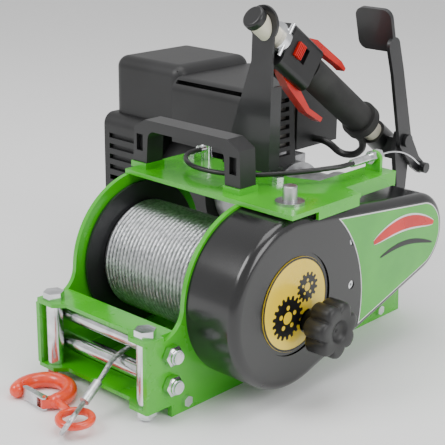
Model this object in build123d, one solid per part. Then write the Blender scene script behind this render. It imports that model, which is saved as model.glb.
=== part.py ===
from build123d import *
import math
import os

# Portable cable winch with a small petrol engine, in millimetres.
# Origin: on the floor under the drum axis, midway between the side plates, which is also the
# centre of the four base holes. +X towards the gear cover, -Y out through the fairlead, +Z up.

# ---------------------------------------------------------------- driving dimensions
FRAME_WIDTH = 156.0          # over the two side plates
PLATE = 5.0                  # side plate thickness
TOP_HEIGHT = 189.0           # upper face of the top plate
TOP_SHEET = 4.5
DRUM_Z = 99.0                # height of the drum axis
DRUM_FLANGE_R = 76.0
DRUM_FLANGE_T = 3.0
DRUM_TUBE_R = 30.0
DRUM_TUBE_WALL = 4.0
DRUM_SIDE_GAP = 1.5          # drum flange to side plate
ROPE_D = 5.0
ROPE_PACK_R = 57.0
SHAFT_R = 10.0               # drum shaft in its bearings
STUB_R = 6.0                 # drum shaft under the pulley and the gear
RUN_GAP = 0.05               # radial clearance of a running shaft
PART_GAP = 0.3               # between faces that move past each other

FRONT_Y = -134.0             # front edge of the side plates
CHEEK_LOW = 16.0
CHEEK_TOP = 79.0
CHEEK_FILLET = 25.0
SKID_FRONT_Y = -103.0
SKID_REAR_Y = 260.0
SKID_RAIL = 28.0             # height of the left plate's rear rail
SHELL_R = 87.0               # round part of the side plates

FLANGE_T = 4.0               # fairlead flanges
FLANGE_BACK_Y = -96.0
EAR_W = 24.0
EAR_RECESS = 10.0
ROLLER_R = 8.5
ROLLER_BOLT_R = 6.0
VERT_ROLLER_X = 64.5
VERT_ROLLER_Y = -122.5
HORIZ_ROLLER_Y = -104.5
HORIZ_ROLLER_Z = (34.0, 64.0)
NUT_AF = 18.0                # M12
NUT_H = 10.0

TRAY_FRONT_Y = -94.0
TRAY_WALL = 3.0
TRAY_HEIGHT = 20.0
BASE_HOLE_R = 4.5            # four M8 holes in the base
BASE_HOLE_X = 50.0           # half spacing
BASE_HOLE_Y = 75.0

COVER_DEPTH = 59.5           # side plate to the cover's outer face
COVER_R = 84.5
COVER_WALL = 3.0
COVER_EDGE = 9.0
CRANK_Y = 202.0
CRANK_Z = 117.0
TAIL_R = 44.0
DIAL_R = 46.0
DIAL_T = 1.0
DIAL_RECESS = 1.4

GEAR_MODULE = 1.25
PINION_TEETH = 16
WHEEL_TEETH = 30
GEAR_BACKLASH = 0.16         # taken off each tooth's thickness
LAYSHAFT_ANGLE = -49.2       # layshaft direction from the drum axis, from +Y
PULLEY_R = 66.0
SMALL_PULLEY_R = 24.0
PULLEY_X = 80.5
PULLEY_W = 12.0
BELT_W = 9.0
BELT_T = 6.0
KNOB_R = 28.0
KNOB_LOBES = 7
KNOB_TRAVEL = 10.0

STUD_R = 7.0
STUD_LENGTH = 14.6
STUD_X = 114.0
STUD_Y = 15.0

BRIDGE_PITCH = 128.0
BRIDGE_X = -8.0
BRIDGE_Y = 11.0
BRIDGE_TOP = 240.0
PAD_T = 6.0

TUBE_R = 11.0
TUBE_WALL = 2.0
TUBE_FRONT = Vector(24.0, 66.0, 342.0)
TUBE_REAR = Vector(41.0, 266.0, 188.0)
GRIP_R = 16.5
GRIP_START = 90.0
GRIP_END = 206.0

LEVER_Y = 254.0
LEVER_Z = 199.0
LEVER_T = 4.0
LEVER_W = 19.0

HOOK_R = 25.0                # bowl, to the middle of the bar
HOOK_BAR_R = 7.5
EYE_R = 15.0
EYE_BAR_R = 3.7
HOOK_CENTRE = (-36.0, -162.0)
EYE_CENTRE = (33.0, -180.0)
EYE_Z = 11.0                 # the eye lies on the thimble
HOOK_Z = HOOK_BAR_R

# ---------------------------------------------------------------- derived sizes
OUT_X = FRAME_WIDTH / 2
IN_X = OUT_X - PLATE
SHEET_Z = TOP_HEIGHT - TOP_SHEET
CENTRE_DISTANCE = GEAR_MODULE * (PINION_TEETH + WHEEL_TEETH) / 2
LAY_Y = CENTRE_DISTANCE * math.cos(math.radians(LAYSHAFT_ANGLE))
LAY_Z = DRUM_Z + CENTRE_DISTANCE * math.sin(math.radians(LAYSHAFT_ANGLE))
COVER_X = OUT_X + COVER_DEPTH
FLANGE_X = IN_X - DRUM_SIDE_GAP          # outer face of a drum flange
PACK_X = FLANGE_X - DRUM_FLANGE_T

os.makedirs("parts", exist_ok=True)
made = {}


def save(name, *solids):
    """Write one node, from one solid or from several that stay separate."""
    shape = solids[0] if len(solids) == 1 else Compound(children=list(solids))
    export_step(shape, f"parts/{name}.step")
    made[name] = shape


# ---------------------------------------------------------------- basic shapes
def block(x0, x1, y0, y1, z0, z1):
    return Pos((x0 + x1) / 2, (y0 + y1) / 2, (z0 + z1) / 2) * Box(x1 - x0, y1 - y0, z1 - z0)


def rod_x(r, x0, x1, y, z):
    return Pos((x0 + x1) / 2, y, z) * Rot(0, 90, 0) * Cylinder(r, x1 - x0)


def rod_y(r, y0, y1, x, z):
    return Pos(x, (y0 + y1) / 2, z) * Rot(90, 0, 0) * Cylinder(r, y1 - y0)


def rod_z(r, z0, z1, x, y):
    return Pos(x, y, (z0 + z1) / 2) * Cylinder(r, z1 - z0)


def rod_between(r, a, b):
    a = Vector(*a)
    b = Vector(*b)
    return Plane(origin=a, z_dir=b - a) * Cylinder(r, (b - a).length, align=(Align.CENTER, Align.CENTER, Align.MIN))


def slab_x(face, x0, thickness):
    """A (y, z) outline as a plate from x0 towards +X."""
    return extrude(Plane.YZ.offset(x0) * face, amount=thickness)


def slab_z(face, z0, thickness):
    return extrude(Plane.XY.offset(z0) * face, amount=thickness)


def disc(r, a, b):
    return Pos(a, b) * Circle(r)


def rect(a0, a1, b0, b1):
    return Pos((a0 + a1) / 2, (b0 + b1) / 2) * Rectangle(a1 - a0, b1 - b0)


def poly(*points):
    """A closed outline; its face always looks the same way, whichever way round the points go."""
    twice_area = sum(a[0] * b[1] - b[0] * a[1] for a, b in zip(points, points[1:] + points[:1]))
    if twice_area < 0:
        points = points[::-1]
    return Polygon(*points, align=None)


def hexagon(across_flats):
    return RegularPolygon(across_flats / 2, 6, major_radius=False)


def belt_outline(c1, r1, c2, r2):
    """The outline of a band round two circles: their hull."""
    (a1, b1), (a2, b2) = c1, c2
    span = math.hypot(a2 - a1, b2 - b1)
    base = math.atan2(b2 - b1, a2 - a1)
    lean = math.acos((r1 - r2) / span)
    corners = []
    for sign in (1, -1):
        n = (math.cos(base + sign * lean), math.sin(base + sign * lean))
        pair = [(a1 + r1 * n[0], b1 + r1 * n[1]), (a2 + r2 * n[0], b2 + r2 * n[1])]
        corners += pair if sign == 1 else pair[::-1]
    return disc(r1, a1, b1) + disc(r2, a2, b2) + poly(*corners)


def cord_path(points):
    """Straight runs joined by arcs as large as the runs allow; prints their radii."""
    points = [Vector(*p) for p in points]
    radii = []
    for before, here, after in zip(points, points[1:], points[2:]):
        runs = (here - before, after - here)
        half_turn = math.radians(runs[0].get_angle(runs[1]) / 2)
        radii.append(0.45 * min(run.length for run in runs) / math.tan(half_turn))
    print("  arc radii", [round(r, 1) for r in radii])
    return FilletPolyline(*points, radius=radii)


def tube_along(points, r):
    path = cord_path(points)
    start = Plane(origin=path @ 0, z_dir=path % 0)
    solid = sweep(start * Circle(r), path=path)
    print("  length", round(path.length, 1), "volume ratio",
          round(solid.volume / (math.pi * r * r * path.length), 4))
    return solid


# ---------------------------------------------------------------- frame
def cheek_fillet_y():
    """Where the concave fillet meets the cheek's top edge."""
    return -math.sqrt((SHELL_R + CHEEK_FILLET) ** 2 - (CHEEK_TOP + CHEEK_FILLET - DRUM_Z) ** 2)


def cheek_fillet():
    """The concave corner between the fairlead cheek's top edge and the round shell."""
    zc = CHEEK_TOP + CHEEK_FILLET
    yc = cheek_fillet_y()
    return poly((yc, CHEEK_TOP), (yc, zc), (0, DRUM_Z), (0, CHEEK_TOP)) - disc(CHEEK_FILLET, yc, zc)


def shell_outline():
    shell = disc(SHELL_R, 0, DRUM_Z) & rect(-SHELL_R, SHELL_R, 0, SHEET_Z)
    cheek = rect(FRONT_Y, 0, CHEEK_LOW, CHEEK_TOP)
    skid = rect(SKID_FRONT_Y, SHELL_R, 0, DRUM_Z - SHELL_R / 2)
    return shell + cheek + skid + cheek_fillet()


def plate_holes():
    holes = [disc(BEARING_R, 0, DRUM_Z)]
    holes += [disc(ROLLER_BOLT_R, HORIZ_ROLLER_Y, z) for z in HORIZ_ROLLER_Z]
    return holes


def side_plate_left():
    outline = shell_outline() + rect(0, SKID_REAR_Y, 0, SKID_RAIL)
    for hole in plate_holes():
        outline = outline - hole
    return slab_x(outline, -OUT_X, PLATE)


def side_plate_right():
    rear = poly((0, 0), (SKID_REAR_Y, 0), (SKID_REAR_Y - 4, CRANK_Z / 2), (CRANK_Y + TAIL_BACK_R, CRANK_Z),
                (CRANK_Y, CRANK_Z + TAIL_BACK_R), (90, SHEET_Z), (0, SHEET_Z))
    outline = shell_outline() + rear + disc(TAIL_BACK_R, CRANK_Y, CRANK_Z)
    screw_holes = [disc(SCREW_R, y, z) for y, z in COVER_SCREWS]
    for hole in plate_holes() + screw_holes + [disc(BEARING_R, CRANK_Y, CRANK_Z)]:
        outline = outline - hole
    return slab_x(outline, IN_X, PLATE)


def fairlead_flange(z0, notch_y):
    """A folded strip across the front, with an ear round each vertical roller bolt."""
    outline = poly((-OUT_X, FRONT_Y), (-OUT_X + EAR_W, FRONT_Y), (-OUT_X + EAR_W + EAR_RECESS, FRONT_Y + EAR_RECESS),
                   (OUT_X - EAR_W - EAR_RECESS, FRONT_Y + EAR_RECESS), (OUT_X - EAR_W, FRONT_Y), (OUT_X, FRONT_Y),
                   (OUT_X, FLANGE_BACK_Y), (-OUT_X, FLANGE_BACK_Y))
    outline = fillet(outline.vertices(), 3)
    outline -= rect(-OUT_X - 1, -IN_X, notch_y, 0) + rect(IN_X, OUT_X + 1, notch_y, 0)
    for x in (-VERT_ROLLER_X, VERT_ROLLER_X):
        outline = outline - disc(ROLLER_BOLT_R, x, VERT_ROLLER_Y)
    return slab_z(outline, z0, FLANGE_T)


def base_tray():
    """An open folded tray between the side plates, with the four base holes in its floor."""
    y1 = SKID_REAR_Y - 2
    tray = block(-IN_X, IN_X, TRAY_FRONT_Y, y1, 0, TRAY_HEIGHT)
    tray -= block(-IN_X + TRAY_WALL, IN_X - TRAY_WALL, TRAY_FRONT_Y + TRAY_WALL, y1 - TRAY_WALL,
                  TRAY_WALL, TRAY_HEIGHT + 1)
    for x in (-BASE_HOLE_X, BASE_HOLE_X):
        for y in (-BASE_HOLE_Y, BASE_HOLE_Y):
            tray -= rod_z(BASE_HOLE_R, -1, TRAY_WALL + 1, x, y)
    return tray


def top_plate():
    """The folded top plate: sheet, lip over the cover, rear beam with its cable ear, handle pads."""
    outline = poly((-OUT_X - 1, -14), (TOP_RIGHT_X, -14), (TOP_RIGHT_X, 88), (BEAM_X1, 92), (BEAM_X1, BEAM_Y),
                   (BEAM_X0, BEAM_Y), (BEAM_X0, 92), (60, 81), (-OUT_X - 1, 81))
    plate = slab_z(outline, SHEET_Z, TOP_SHEET)
    plate += block(TOP_RIGHT_X - LIP_T, TOP_RIGHT_X, 24, 86, SHEET_Z - LIP_DROP, SHEET_Z)
    plate += block(BEAM_X1 - LIP_T, BEAM_X1, 96, BEAM_Y, SHEET_Z - BEAM_DROP, SHEET_Z)
    plate += block(BEAM_X0, BEAM_X1, BEAM_Y - LIP_T, BEAM_Y, SHEET_Z - BEAM_DROP, SHEET_Z)
    plate -= rod_z(STUD_THREAD_R, SHEET_Z - 1, TOP_HEIGHT + 1, STUD_X, STUD_Y)
    plate += block(EAR_X - 9, EAR_X + 9, EAR_Y, EAR_Y + 4, TOP_HEIGHT, TOP_HEIGHT + 12)
    plate += rod_y(9, EAR_Y, EAR_Y + 4, EAR_X, TOP_HEIGHT + 12)
    plate -= rod_y(BARREL_R + 0.1, EAR_Y - 1, EAR_Y + 5, EAR_X, CABLE_Z)
    for x in bridge_feet():
        plate += block(x - 11, x + 11, BRIDGE_Y - 13, BRIDGE_Y + 13, TOP_HEIGHT, TOP_HEIGHT + PAD_T)
    plate -= rod_z(GLAND_R - 2, SHEET_Z - 1, TOP_HEIGHT + 1, GLAND_X, GLAND_Y)
    return plate


TAIL_BACK_R = 50.0
BEARING_R = 16.0
TOP_RIGHT_X = COVER_X + 4
LIP_T = 3.0
LIP_DROP = 8.0
BEAM_X0 = 88.0
BEAM_X1 = 120.0
BEAM_Y = 176.0
BEAM_DROP = 10.0
STUD_THREAD_R = 5.0
EAR_X = 103.0
EAR_Y = 159.0
CABLE_Z = 203.5
BARREL_R = 4.0
GLAND_X = -47.0
GLAND_Y = 72.0
GLAND_R = 6.0


def bridge_feet():
    return (BRIDGE_X - BRIDGE_PITCH / 2, BRIDGE_X + BRIDGE_PITCH / 2)


def bridge_handle():
    """A moulded bridge handle: two tapered feet and a bowed grip."""
    half = BRIDGE_PITCH / 2
    z0 = TOP_HEIGHT + PAD_T
    outer = poly((-half - 10, z0), (-half + 10, z0), (-half + 12, BRIDGE_TOP - 11), (half - 12, BRIDGE_TOP - 11),
                 (half - 10, z0), (half + 10, z0), (half + 8, BRIDGE_TOP - 9), (half - 8, BRIDGE_TOP),
                 (-half + 8, BRIDGE_TOP), (-half - 8, BRIDGE_TOP - 9))
    inner_corners = [v for v in outer.vertices() if abs(v.Y - (BRIDGE_TOP - 11)) < 0.1]
    outer = fillet(inner_corners, 9)
    body = extrude(Plane.XZ.offset(-BRIDGE_Y) * (Pos(BRIDGE_X, 0) * outer), amount=11, both=True)
    for x in bridge_feet():
        body -= block(x - 4.5, x + 4.5, BRIDGE_Y - 12, BRIDGE_Y - 6, z0 + 12, BRIDGE_TOP - 16)
        body -= rod_z(3.2, z0 - 1, z0 + 9, x, BRIDGE_Y)
    return body


def anchor_stud():
    stud = rod_z(STUD_R, TOP_HEIGHT + 2.5, TOP_HEIGHT + 2.5 + STUD_LENGTH, STUD_X, STUD_Y)
    stud += rod_z(STUD_THREAD_R, SHEET_Z, TOP_HEIGHT + 2.5, STUD_X, STUD_Y)
    washer = rod_z(STUD_R * 2, TOP_HEIGHT, TOP_HEIGHT + 2.5, STUD_X, STUD_Y)
    washer -= rod_z(STUD_THREAD_R, TOP_HEIGHT - 1, TOP_HEIGHT + 4, STUD_X, STUD_Y)
    return chamfer(stud.edges().group_by(Axis.Z)[-1], 1), washer


# ---------------------------------------------------------------- fairlead rollers and bolts
def tube_roller(kind, low, high, a, b):
    make = {"x": rod_x, "z": rod_z}[kind]
    return make(ROLLER_R, low, high, a, b) - make(ROLLER_BOLT_R + RUN_GAP, low - 1, high + 1, a, b)


def hex_head(across, height):
    return extrude(hexagon(across), amount=height)


def roller_bolts():
    solids = []
    for x in (-VERT_ROLLER_X, VERT_ROLLER_X):
        bolt = rod_z(ROLLER_BOLT_R, CHEEK_LOW - FLANGE_T - NUT_H, CHEEK_TOP + FLANGE_T, x, VERT_ROLLER_Y)
        solids.append(bolt + Pos(x, VERT_ROLLER_Y, CHEEK_TOP + FLANGE_T) * hex_head(NUT_AF, 7.5))
    for z in HORIZ_ROLLER_Z:
        bolt = rod_x(ROLLER_BOLT_R, -OUT_X, OUT_X + NUT_H + 2, HORIZ_ROLLER_Y, z)
        solids.append(bolt + Pos(-OUT_X, HORIZ_ROLLER_Y, z) * Rot(0, -90, 0) * hex_head(NUT_AF, 7.5))
    return solids


def roller_nuts():
    solids = []
    for x in (-VERT_ROLLER_X, VERT_ROLLER_X):
        nut = Pos(x, VERT_ROLLER_Y, CHEEK_LOW - FLANGE_T - NUT_H) * hex_head(NUT_AF, NUT_H)
        solids.append(nut - rod_z(ROLLER_BOLT_R, -1, CHEEK_TOP, x, VERT_ROLLER_Y))
    for z in HORIZ_ROLLER_Z:
        nut = Pos(OUT_X, HORIZ_ROLLER_Y, z) * Rot(0, 90, 0) * hex_head(NUT_AF, NUT_H)
        solids.append(nut - rod_x(ROLLER_BOLT_R, 0, OUT_X + 20, HORIZ_ROLLER_Y, z))
    return solids


# ---------------------------------------------------------------- drum and rope
def drum():
    body = rod_x(DRUM_TUBE_R, -FLANGE_X, FLANGE_X, 0, DRUM_Z)
    body -= rod_x(DRUM_TUBE_R - DRUM_TUBE_WALL, -PACK_X, PACK_X, 0, DRUM_Z)
    for x in (-FLANGE_X, PACK_X):
        body += rod_x(DRUM_FLANGE_R, x, x + DRUM_FLANGE_T, 0, DRUM_Z)
    body += rod_x(SHAFT_R, -OUT_X - 4, PULLEY_X - PART_GAP, 0, DRUM_Z)
    body += rod_x(STUB_R, 0, DRUM_GEAR_X + GEAR_W + 2, 0, DRUM_Z)
    return body


def rope_wound():
    """Rope layers on the drum; the outer layer is turned as one groove per turn."""
    side_gap = 0.2
    turns = int((2 * PACK_X - 2 * side_gap) / ROPE_D)
    width = turns * ROPE_D
    core = rod_x(ROPE_PACK_R - ROPE_D / 2, -width / 2, width / 2, 0, DRUM_Z)
    profile = rect(-width / 2, width / 2, ROPE_PACK_R - ROPE_D, ROPE_PACK_R - ROPE_D / 2)
    for turn in range(turns):
        profile += disc(ROPE_D / 2 + 0.05, -width / 2 + (turn + 0.5) * ROPE_D, ROPE_PACK_R - ROPE_D / 2)
    profile = profile & rect(-width / 2, width / 2, 0, ROPE_PACK_R + 1)
    layer = revolve(Plane(origin=(0, 0, DRUM_Z), x_dir=(1, 0, 0), z_dir=(0, -1, 0)) * profile,
                    Axis((0, 0, DRUM_Z), (1, 0, 0)))
    return core + layer - rod_x(DRUM_TUBE_R, -PACK_X, PACK_X, 0, DRUM_Z)


def shaft_bearing(x0, length, r_shaft, y, z, rim):
    ring = rod_x(BEARING_R, x0, x0 + length, y, z)
    ring += rod_x(BEARING_R + 3, x0 + rim[0], x0 + rim[1], y, z)
    return ring - rod_x(r_shaft + RUN_GAP, x0 - 2, x0 + length + 2, y, z)


def bearings():
    left = shaft_bearing(-OUT_X - 2, PLATE + 2, SHAFT_R, 0, DRUM_Z, (0, 2))
    right = shaft_bearing(IN_X, PLATE + 1.5, SHAFT_R, 0, DRUM_Z, (PLATE, PLATE + 1.5))
    engine = shaft_bearing(IN_X, PLATE + 1.5, PULLEY_SHAFT_R, CRANK_Y, CRANK_Z, (PLATE, PLATE + 1.5))
    return left, right, engine


# ---------------------------------------------------------------- gears and belt
GEAR_W = 7.0
BRIDGE_PLATE_X = PULLEY_X + PULLEY_W + 1.5
BRIDGE_PLATE_T = 3.0
LAY_WHEEL_X = BRIDGE_PLATE_X + BRIDGE_PLATE_T + 1.0
LAY_WHEEL_W = 8.0
DRUM_GEAR_X = LAY_WHEEL_X + LAY_WHEEL_W + KNOB_TRAVEL + 0.5
LAY_BORE_R = 4.0
PULLEY_SHAFT_R = 7.0
SPACER_R = 3.5
PRESSURE = math.radians(20)


def gear_outline(teeth, turn):
    """An involute spur gear's outline round the origin, with one tooth centred on angle turn."""
    pitch = GEAR_MODULE * teeth / 2
    base = pitch * math.cos(PRESSURE)
    tip = pitch + GEAR_MODULE
    root = pitch - 1.25 * GEAR_MODULE
    inv = math.tan(PRESSURE) - PRESSURE
    half_pitch_tooth = (math.pi * pitch / teeth - GEAR_BACKLASH) / 2 / pitch
    steps = 5

    def flank_angle(r):
        if r <= base:
            return half_pitch_tooth + inv
        roll = math.acos(base / r)
        return half_pitch_tooth + inv - (math.tan(roll) - roll)

    radii = [root] + [max(base, root) + (tip - max(base, root)) * k / steps for k in range(steps + 1)]
    points = []
    for tooth in range(teeth):
        centre = turn + 2 * math.pi * tooth / teeth
        rising = [(r, centre - flank_angle(r)) for r in radii]
        falling = [(r, centre + flank_angle(r)) for r in reversed(radii)]
        points += [(r * math.cos(a), r * math.sin(a)) for r, a in rising + falling]
    return poly(*points)


def gear(teeth, x0, width, y, z, turn):
    return slab_x(Pos(y, z) * gear_outline(teeth, turn), x0, width)


def mesh_turns():
    """A wheel's tooth points at its partner, where the pinion has a gap."""
    towards = math.radians(LAYSHAFT_ANGLE)
    gap = math.pi / PINION_TEETH
    return towards, gap


def drum_gear():
    towards, gap = mesh_turns()
    wheel = gear(WHEEL_TEETH, DRUM_GEAR_X, GEAR_W, 0, DRUM_Z, towards)
    return wheel - rod_x(STUB_R, DRUM_GEAR_X - 1, DRUM_GEAR_X + GEAR_W + 1, 0, DRUM_Z)


def drive_pulley():
    """A vee pulley with the first pinion on its hub, free on the drum shaft."""
    towards, gap = mesh_turns()
    rim = rod_x(PULLEY_R + 2, PULLEY_X, PULLEY_X + PULLEY_W, 0, DRUM_Z)
    rim -= vee_groove(PULLEY_R, 0, DRUM_Z)
    for step in range(6):
        angle = math.radians(60 * step + 30)
        rim -= rod_x(10, PULLEY_X - 1, PULLEY_X + PULLEY_W + 1, 40 * math.cos(angle), DRUM_Z + 40 * math.sin(angle))
    hub = gear(PINION_TEETH, PULLEY_X + PULLEY_W, DRUM_GEAR_X - 1 - PULLEY_X - PULLEY_W, 0, DRUM_Z, towards + gap)
    return rim + hub - rod_x(STUB_R + RUN_GAP, PULLEY_X - 1, DRUM_GEAR_X, 0, DRUM_Z)


def vee_groove(r, y, z):
    """The ring cut from a pulley's rim, a little deeper than the belt."""
    mid = PULLEY_X + PULLEY_W / 2
    depth = r - BELT_T - PART_GAP
    half_top = BELT_W / 2 + 0.6
    half_low = half_top - 1.5
    profile = poly((mid - half_top, r + 3), (mid - half_low, depth), (mid + half_low, depth), (mid + half_top, r + 3))
    section = Plane(origin=(0, y, z), x_dir=(1, 0, 0), z_dir=(0, -1, 0)) * profile
    return revolve(section, Axis((0, y, z), (1, 0, 0)))


def layshaft():
    """Two gears on one sleeve, turning on a fixed pin and sliding with the knob."""
    towards, gap = mesh_turns()
    back = towards + math.pi
    cluster = gear(WHEEL_TEETH, LAY_WHEEL_X, LAY_WHEEL_W, LAY_Y, LAY_Z, back)
    cluster += gear(PINION_TEETH, DRUM_GEAR_X, GEAR_W, LAY_Y, LAY_Z, back + gap)
    cluster += rod_x(7.5, LAY_WHEEL_X, DRUM_GEAR_X, LAY_Y, LAY_Z)
    return cluster - rod_x(LAY_BORE_R + RUN_GAP, LAY_WHEEL_X - 1, DRUM_GEAR_X + GEAR_W + 1, LAY_Y, LAY_Z)


def gear_bridge():
    """The inner gearbox plate on two spacers, with the layshaft's fixed pin."""
    post_y = PULLEY_R + 2 + 1.5 + SPACER_R
    reach = post_y + SPACER_R
    outline = rect(-reach, reach, DRUM_Z - 9, DRUM_Z + 9) + disc(19, 0, DRUM_Z) + disc(10, LAY_Y, LAY_Z)
    outline += poly((LAY_Y - 10, LAY_Z), (LAY_Y + 10, LAY_Z), (12, DRUM_Z), (-12, DRUM_Z))
    outline -= disc(GEAR_MODULE * (PINION_TEETH / 2 + 1) + 1.2, 0, DRUM_Z)
    plate = slab_x(outline, BRIDGE_PLATE_X, BRIDGE_PLATE_T)
    plate += rod_x(LAY_BORE_R, BRIDGE_PLATE_X, DRUM_GEAR_X + GEAR_W, LAY_Y, LAY_Z)
    for y in (-post_y, post_y):
        plate += rod_x(SPACER_R, OUT_X, BRIDGE_PLATE_X, y, DRUM_Z)
    return plate


def engine_pulley():
    """The clutch cup and small pulley on one shaft, free of the crankshaft."""
    shaft = rod_x(PULLEY_SHAFT_R, 63, PULLEY_X + PULLEY_W + 3, CRANK_Y, CRANK_Z)
    cup = rod_x(31, 38, 65, CRANK_Y, CRANK_Z) - rod_x(28, 37, 62, CRANK_Y, CRANK_Z)
    wheel = rod_x(SMALL_PULLEY_R + 2, PULLEY_X, PULLEY_X + PULLEY_W, CRANK_Y, CRANK_Z)
    wheel -= vee_groove(SMALL_PULLEY_R, CRANK_Y, CRANK_Z)
    return shaft + cup + wheel


def drive_belt():
    mid = PULLEY_X + PULLEY_W / 2
    ends = ((0, DRUM_Z), (CRANK_Y, CRANK_Z))
    outer = belt_outline(ends[0], PULLEY_R, ends[1], SMALL_PULLEY_R)
    inner = belt_outline(ends[0], PULLEY_R - BELT_T, ends[1], SMALL_PULLEY_R - BELT_T)
    return slab_x(outer - inner, mid - BELT_W / 2 + 1.2, BELT_W - 2.4)


# ---------------------------------------------------------------- gear cover, dial, knob
def cover_outline(inset):
    return belt_outline((0, DRUM_Z), COVER_R - inset, (CRANK_Y, CRANK_Z), TAIL_R - inset)


COVER_SCREWS = ((84.0, 140.7), (85.0, 94.9))


def gear_cover():
    body = slab_x(cover_outline(0), OUT_X, COVER_DEPTH)
    body = fillet(body.edges().group_by(Axis.X)[-1], COVER_EDGE)
    body -= slab_x(cover_outline(COVER_WALL), OUT_X - 1, COVER_DEPTH - COVER_WALL + 1)
    body -= rod_x(DIAL_R + 4, COVER_X - DIAL_RECESS, COVER_X + 1, 0, DRUM_Z)
    body -= rod_x(STEM_R + 0.2, OUT_X, COVER_X + 1, LAY_Y, LAY_Z)
    for y, z in COVER_SCREWS:
        body += rod_x(6, OUT_X, COVER_X - COVER_WALL / 2, y, z)
        body -= rod_x(4.5, COVER_X - 3, COVER_X + 1, y, z)
        body -= rod_x(SCREW_R, OUT_X - 1, COVER_X, y, z)
    return body


STEM_R = 7.0
SCREW_R = 2.5


def dial_plate():
    """The round dial in the cover's recess, cut away round the knob's neck."""
    plate = disc(DIAL_R, 0, DRUM_Z) - disc(KNOB_NECK_R + 1.5, LAY_Y, LAY_Z)
    return slab_x(plate, COVER_X - DIAL_RECESS, DIAL_T)


KNOB_NECK_R = 10.5
KNOB_X = COVER_X + 13.5
KNOB_T = 25.0


def gear_knob():
    """A star knob with its neck and the stem that pushes the gear cluster."""
    star = disc(KNOB_R - 8, 0, 0)
    for lobe in range(KNOB_LOBES):
        angle = 2 * math.pi * lobe / KNOB_LOBES
        star += disc(7.5, (KNOB_R - 7.5) * math.cos(angle), (KNOB_R - 7.5) * math.sin(angle))
    body = slab_x(Pos(LAY_Y, LAY_Z) * star, KNOB_X, KNOB_T)
    body = chamfer(body.edges().group_by(Axis.X)[-1], 1.2)
    body -= rod_x(9, KNOB_X + KNOB_T - 4, KNOB_X + KNOB_T + 1, LAY_Y, LAY_Z)
    body += rod_x(KNOB_NECK_R, COVER_X + 0.5, KNOB_X, LAY_Y, LAY_Z)
    return body + rod_x(STEM_R, DRUM_GEAR_X + GEAR_W + PART_GAP, COVER_X + 0.5, LAY_Y, LAY_Z)


def cover_screws():
    solids = []
    for y, z in COVER_SCREWS:
        screw = rod_x(SCREW_R, IN_X + 1, COVER_X - 3, y, z) + rod_x(4.2, COVER_X - 3, COVER_X - 1, y, z)
        screw -= Pos(COVER_X - 2, y, z) * Rot(0, 90, 0) * hex_head(3.0, 3)
        solids.append(screw)
    return solids


# ---------------------------------------------------------------- engine
CASE_X = (-115.0, -30.0, 20.0)


def crankcase():
    """The cast crankcase, its neck and the clutch bell bolted to the right side plate."""
    case = rod_x(46, CASE_X[0], CASE_X[1], CRANK_Y, CRANK_Z) + rod_x(39, CASE_X[1], CASE_X[2], CRANK_Y, CRANK_Z)
    case += rod_x(45, CASE_X[2], IN_X, CRANK_Y, CRANK_Z)
    case += block(-106, -44, CRANK_Y - 31, CRANK_Y + 31, CRANK_Z, CYLINDER_Z)
    case -= rod_x(33, -96, -54, CRANK_Y, CRANK_Z)
    case -= rod_z(22, CRANK_Z, CYLINDER_Z + 1, CYLINDER_X, CRANK_Y)
    case -= rod_x(CRANK_R + RUN_GAP, CASE_X[0] - 1, IN_X, CRANK_Y, CRANK_Z)
    return case - rod_x(35, 30, IN_X + 1, CRANK_Y, CRANK_Z)


CYLINDER_X = -75.0
CYLINDER_Z = 166.0
CRANK_R = 7.5


def crankshaft():
    """Shaft, webs and the clutch shoes that spin with it."""
    shaft = rod_x(CRANK_R, -252, 34, CRANK_Y, CRANK_Z)
    for x in (-92, -68):
        shaft += rod_x(28, x, x + 10, CRANK_Y, CRANK_Z)
    shoes = rod_x(25, 40, 58, CRANK_Y, CRANK_Z)
    for angle in (0, 60, 120):
        shoes -= Pos(54, CRANK_Y, CRANK_Z) * Rot(angle, 0, 0) * Box(14, 60, 2)
    return shaft + rod_x(CRANK_R, 30, 58, CRANK_Y, CRANK_Z) + shoes


def flywheel_fan():
    rim = rod_x(58, -214, -206, CRANK_Y, CRANK_Z)
    hub = rod_x(20, -240, -206, CRANK_Y, CRANK_Z)
    fan = rim + hub
    for blade in range(12):
        angle = 30 * blade
        fan += Pos(-225, CRANK_Y, CRANK_Z) * Rot(angle, 0, 0) * Pos(0, 0, 38) * Box(22, 3, 38)
    return fan - rod_x(CRANK_R, -260, -200, CRANK_Y, CRANK_Z)


def cylinder():
    """The finned cylinder, closed at the head."""
    body = rod_z(26, CYLINDER_Z, 228, CYLINDER_X, CRANK_Y)
    for fin in range(8):
        z = CYLINDER_Z + 8 + 7 * fin
        body += block(CYLINDER_X - 29, CYLINDER_X + 27, CRANK_Y - 33, CRANK_Y + 33, z, z + 2.2)
    body += rod_z(7, 228, 238, CYLINDER_X, CRANK_Y)
    return body - rod_z(20, CYLINDER_Z - 1, 218, CYLINDER_X, CRANK_Y)


GUARD_X = -33.0


def muffler():
    return fillet(block(CYLINDER_X + 27, GUARD_X, 136, 200, 184, 240).edges().filter_by(Axis.Y), 4)


def muffler_guard():
    """A flat slotted guard that narrows towards its top."""
    outline = poly((116, 165), (196, 165), (188, 250), (178, 256), (142, 256), (130, 250))
    guard = slab_x(outline, GUARD_X, 5)
    for slot in range(7):
        z = 176 + 10 * slot
        inset = (z - 165) * 0.13
        guard -= block(GUARD_X - 1, GUARD_X + 6, 126 + inset, 186 - inset * 0.5, z, z + 5)
    return guard


def engine_hood():
    """The moulded hood over the cylinder, open below and towards the guard."""
    hood = block(-156, GUARD_X + 3, 128, 272, 178, 252)
    hood = fillet(hood.edges().filter_by(Axis.X).group_by(Axis.Z)[-1], 16)
    hood -= block(-153, GUARD_X, 131, 269, 170, 249)
    return hood - block(GUARD_X, GUARD_X + 5, 110, 199, 170, 260)


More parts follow.
